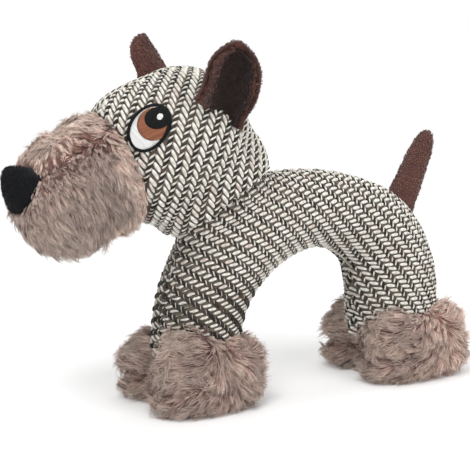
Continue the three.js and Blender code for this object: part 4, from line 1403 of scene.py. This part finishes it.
def make_foot(node):
    box = np.array(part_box(node)) / MM
    centre = np.array([*box[:, :2].mean(0), FOOT_BELLY_Z])
    half = np.array([*(box[1, :2] - box[0, :2]) / 2, FOOT_TOP - FOOT_BELLY_Z])
    leg = arch_centres[0] if "front" in node else arch_centres[-1]
    shape = foot_form(centre, half, leg, *TOES[node])
    outer = np.sign(centre[1])

    def wanted(points):
        x, y, z = points.T
        inside_leg = (np.hypot(x - leg[0], y) < LEG_COVER) & (z > LEG_COVER_Z)
        return (z > FOOT_FUR_FLOOR) & ~inside_leg & (y * outer > FOOT_INNER)

    def past_parting(points, wander):
        x, _, z = points.T
        line = centre[0] + FOOT_PARTING - FOOT_PARTING_LEAN * (z - FOOT_BELLY_Z)
        return x - line + FOOT_PARTING_WANDER * wander[:, 0]

    def comb(points):
        """Away from the parting, down in it, and up the leg at the top of the toe and heel."""
        x, _, z = points.T[..., None]
        wander = drift(points, FOOT_WANDER_SCALE)
        climb = ease(*FOOT_CLIMB_Z, z) * ease(*FOOT_CLIMB_X, np.abs(x - leg[0]))
        low = ease(*FOOT_DROOP_Z, z)
        away = np.tanh(past_parting(points, wander) / FOOT_PARTING_WIDTH)[:, None]
        fall = FOOT_FALL * (1 - away**2) * (1 - climb)
        upward = FOOT_LIFT + FOOT_CLIMB * climb - FOOT_DROOP * low - fall
        return away * X + upward * Z + FOOT_SPLAY * outer * Y + swirl(points, FOOT_SWIRLS)

    def trim(roots, pile):
        """Shorter fur in the parting, in the crease and by the leg, and upright fur on the toe."""
        x, _, z = roots.T
        past_leg = x - leg[0]
        wander = drift(roots, FOOT_WANDER_SCALE)
        high = ease(*ANKLE_Z, z)
        gap = bell(past_parting(roots, wander), FOOT_GAP_HALF) * (1 - high) * ease(*FOOT_GAP_Z, z)
        back = ease(*ANKLE_START, past_leg) * (1 - ease(*ANKLE_END, past_leg))
        front = ease(*TOE_FUR_X, past_leg)
        crease = bell(z - FOOT_CREASE_Z + CREASE_WANDER * wander[:, 1], CREASE_TRIM_HALF)
        crease = crease * ease(*CREASE_TRIM_X, past_leg)
        length = (1 - FOOT_GAP_TRIM * gap) * (1 - ANKLE_TRIM * high * back)
        length = length * (1 + TOE_GROWTH * high * front) * (1 - CREASE_TRIM * crease)
        return {"trim": length, "rise": pile.rise + FOOT_GAP_RISE * gap + TOE_FUR_RISE * high * front}

    add_pad(f"{node}_pad", shape, "torso", "fur", fur_back, [node, f"{node}_filling"])
    # Painted light on both ends: lighter copies of the fur on the toes, and on the heels too
    heel_pile_painted_light = seam_pile if "hind" in node else foot_pile
    for end, sign, material in (("toe", -1, foot_pile), ("heel", 1, heel_pile_painted_light)):

        def on_end(points):
            return wanted(points) & ((points[:, 0] - centre[0]) * sign > 0)

        name = f"{node}_fur_{end}"
        make_fur(name, shape, STRANDS["foot"], on_end, comb, FOOT_FUR, "torso", "fur", material, trim)


for node in TOES:
    make_foot(node)


# Ears and tail


class Ear:
    """The lean, width and cup of one ear, from its joint's place and axis."""

    def __init__(self, side):
        joint = joints[f"{side}_ear_fold"]
        splay, forward = np.radians(EAR_LEANS[side])
        sign = SIDES[side]
        self.cup = EAR_CUPS[side]
        self.tip = EAR_TIPS[side]
        self.seat = np.array(joint["pos_m"]) / MM
        self.chord = -sign * np.array(joint["axis"])
        self.rise = unit(np.array([-math.tan(forward), sign * math.sin(splay), math.cos(splay)]))
        self.face = -sign * np.cross(self.chord, self.rise)

    def up(self, points):
        return (points - self.seat) @ self.rise

    def comb(self, points):
        return self.rise + swirl(points, EAR_SWIRLS)

    def within(self, points):
        """How far inside a ragged line near the ear's edge points lie."""
        share = (self.up(points) / EAR_LENGTH).clip(0, 1)
        across = np.abs((points - self.seat) @ self.chord)
        line = (EAR_HALF_WIDTH - EAR_RIM) * np.sqrt(1 - share**EAR_RIM_CURVE)
        return line - across + EAR_RIM_WANDER * drift(points, EAR_RIM_SCALE)[:, 0]

    def layer(self, inset, middle, thick, top):
        """A closed leaf of cloth: inset from the ear's edge, at middle along the way it faces."""
        across, around = circle(EAR_SIDES)
        rings = []
        for share in [*np.linspace(-EAR_SINK / EAR_LENGTH, EAR_ROWS_END, EAR_ROWS), *EAR_TIP_ROWS]:
            clear = max(share, 0)
            widen = EAR_ROOT_WIDTH + (1 - EAR_ROOT_WIDTH) * math.sin(min(clear / EAR_WIDEST, 1) * math.pi / 2)
            half = EAR_HALF_WIDTH * widen * math.sqrt(1 - clear**self.tip)
            half = max(half - inset * (1 - clear**EAR_INSET_CURVE), EAR_LEAST_HALF)
            fold = bell(share - EAR_FOLD_SHARE, EAR_FOLD_HALF) * ease(*EAR_FOLD_ACROSS, across)
            cup = self.cup * np.abs(across) ** EAR_CUP_CURVE * half / EAR_HALF_WIDTH + EAR_FOLD * fold
            full = thick * min(1, half / EAR_FULL_HALF)
            depth = cup + middle + full * around * (1 - EAR_EDGE_THIN * across**2)
            spread = across * half - EAR_FOLD_DRAW * fold
            height = share * (EAR_LENGTH - top)
            rings.append(self.seat + self.rise * height + self.chord * spread + self.face * depth)
        return skin(rings)


def make_ear(side):
    ear = Ear(side)
    body = f"{side}_ear"
    back, lining, rim = (ear.layer(*EAR_LAYERS[part]) for part in ("back", "lining", "rim"))

    def in_middle(points):
        return ear.within(points) > 0

    def on_rim(points):
        return (ear.within(points) < EAR_RIM_OVERLAP) & (ear.up(points) > EAR_RIM_FLOOR)

    add_pad(f"{body}_back_cloth", back, body, "plush", plush_back, [f"{body}_back"])
    add_pad(f"{body}_lining_cloth", lining, body, "dark_plush", lining_back, [f"{body}_lining"])
    for part, shape, wanted, slot, material in (
        # the backs' pile is the darker copy with painted shade
        ("back", back, everywhere, "plush", ear_pile),
        ("lining", lining, in_middle, "dark_plush", lining_pile),
        # the rim's pile is the back's plush, made lighter with painted light
        ("rim", rim, on_rim, "plush", rim_pile),
    ):
        count = STRANDS[f"ear_{part}"]
        make_fur(f"{body}_{part}_pile", shape, count, wanted, ear.comb, PLUSH, body, slot, material)


def tail_form():
    joint = joints["tail_wag"]
    seat = np.array(joint["pos_m"]) / MM
    wide = np.array(joint["axis"])
    rise = np.array([-wide[2], 0, wide[0]])
    cosines, sines = circle(TAIL_SIDES)
    rings = []
    for share in [*np.linspace(-TAIL_SINK / TAIL_LENGTH, TAIL_ROWS_END, TAIL_ROWS), *TAIL_TIP_ROWS]:
        clear = max(share, 0)
        half = TAIL_ROOT_HALF + (TAIL_TIP_HALF - TAIL_ROOT_HALF) * clear
        half = max(half * math.sqrt(1 - clear**TAIL_TIP_CURVE) + TAIL_TIP_ROUND, TAIL_LEAST_HALF)
        flat = half * cosines * wide + half * TAIL_FLATNESS * sines * Y
        rings.append(seat + rise * share * (TAIL_LENGTH - TAIL_TOP_GAP) + flat - wide * TAIL_SHIFT)
    points, triangles = skin(rings)
    up = (points - seat) @ rise
    aside = np.abs((points - seat) @ wide)
    sewn = aside > TAIL_SEWN * aside.max() * (1 - up / TAIL_SEWN_TAPER)
    sewn |= up < TAIL_ROOT_SEWN
    return puff((points, triangles), sewn * 1.0, TAIL_SWELL), rise


def tail_comb(points):
    return tail_rise + swirl(points, TAIL_SWIRLS)


for side in SIDES:
    make_ear(side)
tail_shape, tail_rise = tail_form()
TAIL_NODES = ["tail_panel_left", "tail_panel_right", "tail_filling"]
add_pad("tail_pad", tail_shape, "tail", "plush", plush_back, TAIL_NODES)
make_fur("tail_pile", tail_shape, STRANDS["tail"], everywhere, tail_comb, PLUSH, "tail", "plush", plush_pile)


# Eyes

THREAD_STEPS = np.array([-0.46, -0.34, -0.2, -0.07, 0.07, 0.2, 0.34, 0.46])
THREAD_PITCH = 0.42
THREAD_HALF = 0.38
THREAD_HIGH = 0.2
THREAD_SIDES = 6
THREAD_SINK = 0.5
THREAD_LEAST = 8
THREAD_JITTER = 0.04
FILL_STEPS = 400
RIM_STITCHES = 150
RIM_LENGTHS = (0.92, 1.08)
CAST_HEIGHT = 30
head_tree = ray_tree(head_shape)


def threads(rng, middles, ways, lengths, lift):
    """Satin threads that lie on the head, given in the left eye's plane."""
    spots = []
    for step in [-0.5, *THREAD_STEPS, 0.5]:
        flat = middles + ways * (lengths * step)[:, None]
        above = EYE_SEAT + flat[:, [0]] * EYE_ACROSS + flat[:, [1]] * EYE_UP + EYE_OUT * CAST_HEIGHT
        spots.append(cast(head_tree, above, np.broadcast_to(-EYE_OUT, above.shape))[0])
    spots = np.stack(spots, axis=1)
    rings = spots[:, 1:-1] + EYE_OUT * (lift + rng.normal(0, THREAD_JITTER, len(spots)))[:, None, None]
    heading = unit(np.gradient(rings, axis=1))
    across = unit(np.cross(np.broadcast_to(EYE_OUT, heading.shape), heading))
    up = np.cross(heading, across)
    start, end = (spots[:, k] + EYE_OUT * (lift - THREAD_SINK) for k in (0, -1))
    cells = rng.integers(0, TONES, len(spots))
    places = THREAD_STEPS + 0.5
    return tubes(start, rings, across * THREAD_HALF, up * THREAD_HIGH, end, THREAD_SIDES, cells, places)


def fill(rng, satin):
    """Threads side by side over a disc of the eye's plane, inside its outline."""
    angle = math.radians(satin.angle)
    way = np.array([math.cos(angle), math.sin(angle)])
    a0, b0, radius = satin.disc
    over = quarter_turn(way)
    reach = np.linspace(-EYE_LONG, EYE_LONG, FILL_STEPS)
    middles, lengths = [], []
    for offset in np.arange(-EYE_LONG, EYE_LONG, THREAD_PITCH):
        a, b = (offset * over + reach[:, None] * way).T
        in_disc = ((a - a0) / EYE_ROUND) ** 2 + (b - b0) ** 2 < radius**2
        on = reach[in_disc & in_outline(a, b, rim=satin.rim)]
        if len(on) > THREAD_LEAST:
            middles.append(offset * over + way * (on[0] + on[-1]) / 2)
            lengths.append(on[-1] - on[0])
    ways = np.broadcast_to(way, (len(middles), 2))
    return threads(rng, np.array(middles), ways, np.array(lengths), satin.lift)


def outline_stitch(rng):
    """Short threads across the rim, all the way round."""
    cosines, sines = circle(RIM_STITCHES)
    long, short = EYE_LONG - EYE_RIM / 2, EYE_SHORT - EYE_RIM / 2
    middles = np.hstack(turn(long * cosines, short * sines, -EYE_TILT))
    ways = unit(np.hstack(turn(cosines / long, sines / short, -EYE_TILT)))
    lengths = EYE_RIM * rng.uniform(*RIM_LENGTHS, RIM_STITCHES)
    return threads(rng, middles, ways, lengths, RIM_LIFT)


def make_eyes():
    rng = np.random.default_rng(SEED)
    layers = {layer: (fill(rng, satin), satin.thread) for layer, satin in SATIN.items()}
    layers["rim"] = (outline_stitch(rng), "black_thread")
    for layer, (shape, slot) in layers.items():
        material = thread_materials[slot]
        points, triangles, corners = shape
        flipped = corners.reshape(-1, 3, 2)[:, ::-1].reshape(-1, 2)
        sides = {"left": shape, "right": (points * [1, -1, 1], triangles[:, ::-1], flipped)}
        for side, mesh in sides.items():
            add_piece(f"{side}_eye_{layer}_stitch", mesh, "head", slot, material, [f"{side}_eye_{layer}"])


make_eyes()


# Neck wad and squeaker


def neck_form():
    """A shallow wad that fits the ball which the head turns on."""
    cosines, sines = circle(WAD_SIDES)
    around = Y * cosines + np.cross(NECK_UP, Y) * sines
    tilts = np.radians(WAD_TILTS)
    middle, half = (WAD_OUTER + WAD_INNER) / 2, (WAD_OUTER - WAD_INNER) / 2
    fullness = half * np.sqrt(1 - (tilts / math.radians(WAD_ANGLE)) ** WAD_CURVE)
    radii = [*(middle + fullness), *(middle - fullness[::-1])]
    rings = []
    for tilt, radius in zip([*tilts, *tilts[::-1]], radii):
        rings.append(SEAT + radius * (NECK_UP * math.cos(tilt) + around * math.sin(tilt)))
    return skin(rings)


add_pad("neck_cushion", neck_form(), "neck", "stuffing", stuffing_fibre, ["neck_wad"])
SQUEAKER = {"squeaker_bulb": bulb_vinyl, "squeaker_reed_tube": bulb_vinyl, "squeaker_reed": reed_plastic}
for node, material in SQUEAKER.items():
    slots = frame["nodes"][node].data.materials
    slots.clear()
    slots.append(material)


# Stage, light and camera, with the floor's sizes in metres

FLOOR_SIZE = 6.0
FLOOR_NEAR = 0.28
FLOOR_FAR = 0.75
FLOOR_GLOW = 0.15
FLOOR_GREY = 0.9
WORLD_STRENGTH = 0.72
LAMP_TARGET = np.array([0, 0, 100])


def seen(tree):
    """1 for rays that show a surface and 0 for those that only carry its light."""
    rays = add(tree, "LightPath").outputs
    plain = maths(tree, "MAXIMUM", rays["Is Camera Ray"], rays["Is Glossy Ray"])
    return maths(tree, "MAXIMUM", plain, rays["Is Transmission Ray"])


def add_floor():
    """A pale floor that keeps the shadow near the toy and runs out to plain white."""
    mesh = bpy.data.meshes.new("floor")
    corners = [(-1, -1, 0), (1, -1, 0), (1, 1, 0), (-1, 1, 0)]
    mesh.from_pydata((np.array(corners) * FLOOR_SIZE).tolist(), [], [(0, 1, 2, 3)])
    floor = bpy.data.objects.new("floor", mesh)
    bpy.context.scene.collection.objects.link(floor)
    material = bpy.data.materials.new("white_floor")
    material.use_nodes = True
    tree = material.node_tree
    tree.nodes.clear()
    far = add(tree, "VectorMath", {0: object_place(tree)}, operation="LENGTH").outputs["Value"]
    away = add(tree, "MapRange", {0: far, 1: FLOOR_NEAR, 2: FLOOR_FAR, 3: FLOOR_GLOW, 4: 1.0}).outputs[0]
    diffuse = add(tree, "BsdfDiffuse", {"Color": grey(FLOOR_GREY)})
    glow = add(tree, "Emission", {"Color": grey(1), "Strength": 1.0})
    share = maths(tree, "MULTIPLY", seen(tree), away)
    blend = add(tree, "MixShader", {0: share, 1: diffuse.outputs[0], 2: glow.outputs[0]})
    add(tree, "OutputMaterial", {0: blend.outputs[0]})
    mesh.materials.append(material)


def add_world():
    world = bpy.data.worlds.new("studio")
    bpy.context.scene.world = world
    world.use_nodes = True
    tree = world.node_tree
    tree.nodes.clear()
    light = add(tree, "Background", {"Color": grey(1), "Strength": WORLD_STRENGTH})
    white = add(tree, "Background", {"Color": grey(1), "Strength": 1.0})
    blend = add(tree, "MixShader", {0: seen(tree), 1: light.outputs[0], 2: white.outputs[0]})
    add(tree, "OutputWorld", {0: blend.outputs[0]})


def aim(made, place, target):
    made.location = Vector(place * MM)
    made.rotation_euler = (Vector(target * MM) - made.location).to_track_quat("-Z", "Y").to_euler()
    bpy.context.scene.collection.objects.link(made)


def add_lamp(name, place, size, power):
    lamp = bpy.data.lights.new(name, "AREA")
    lamp.shape = "DISK"
    lamp.size = size * MM
    lamp.energy = power
    aim(bpy.data.objects.new(name, lamp), np.array(place), LAMP_TARGET)


add_floor()
add_world()
add_lamp("key", (-650, -700, 1400), 800, 15)
add_lamp("fill", (500, -1300, 500), 1000, 6)
add_lamp("top", (100, 300, 1500), 1000, 7)

camera = bpy.data.objects.new("camera", bpy.data.cameras.new("camera"))
camera.data.lens = LENS
aim(camera, CAMERA_TARGET + CAMERA_DISTANCE * facing(AZIMUTH, ELEVATION), CAMERA_TARGET)
scene = bpy.context.scene
scene.camera = camera
scene.view_settings.view_transform = "Standard"
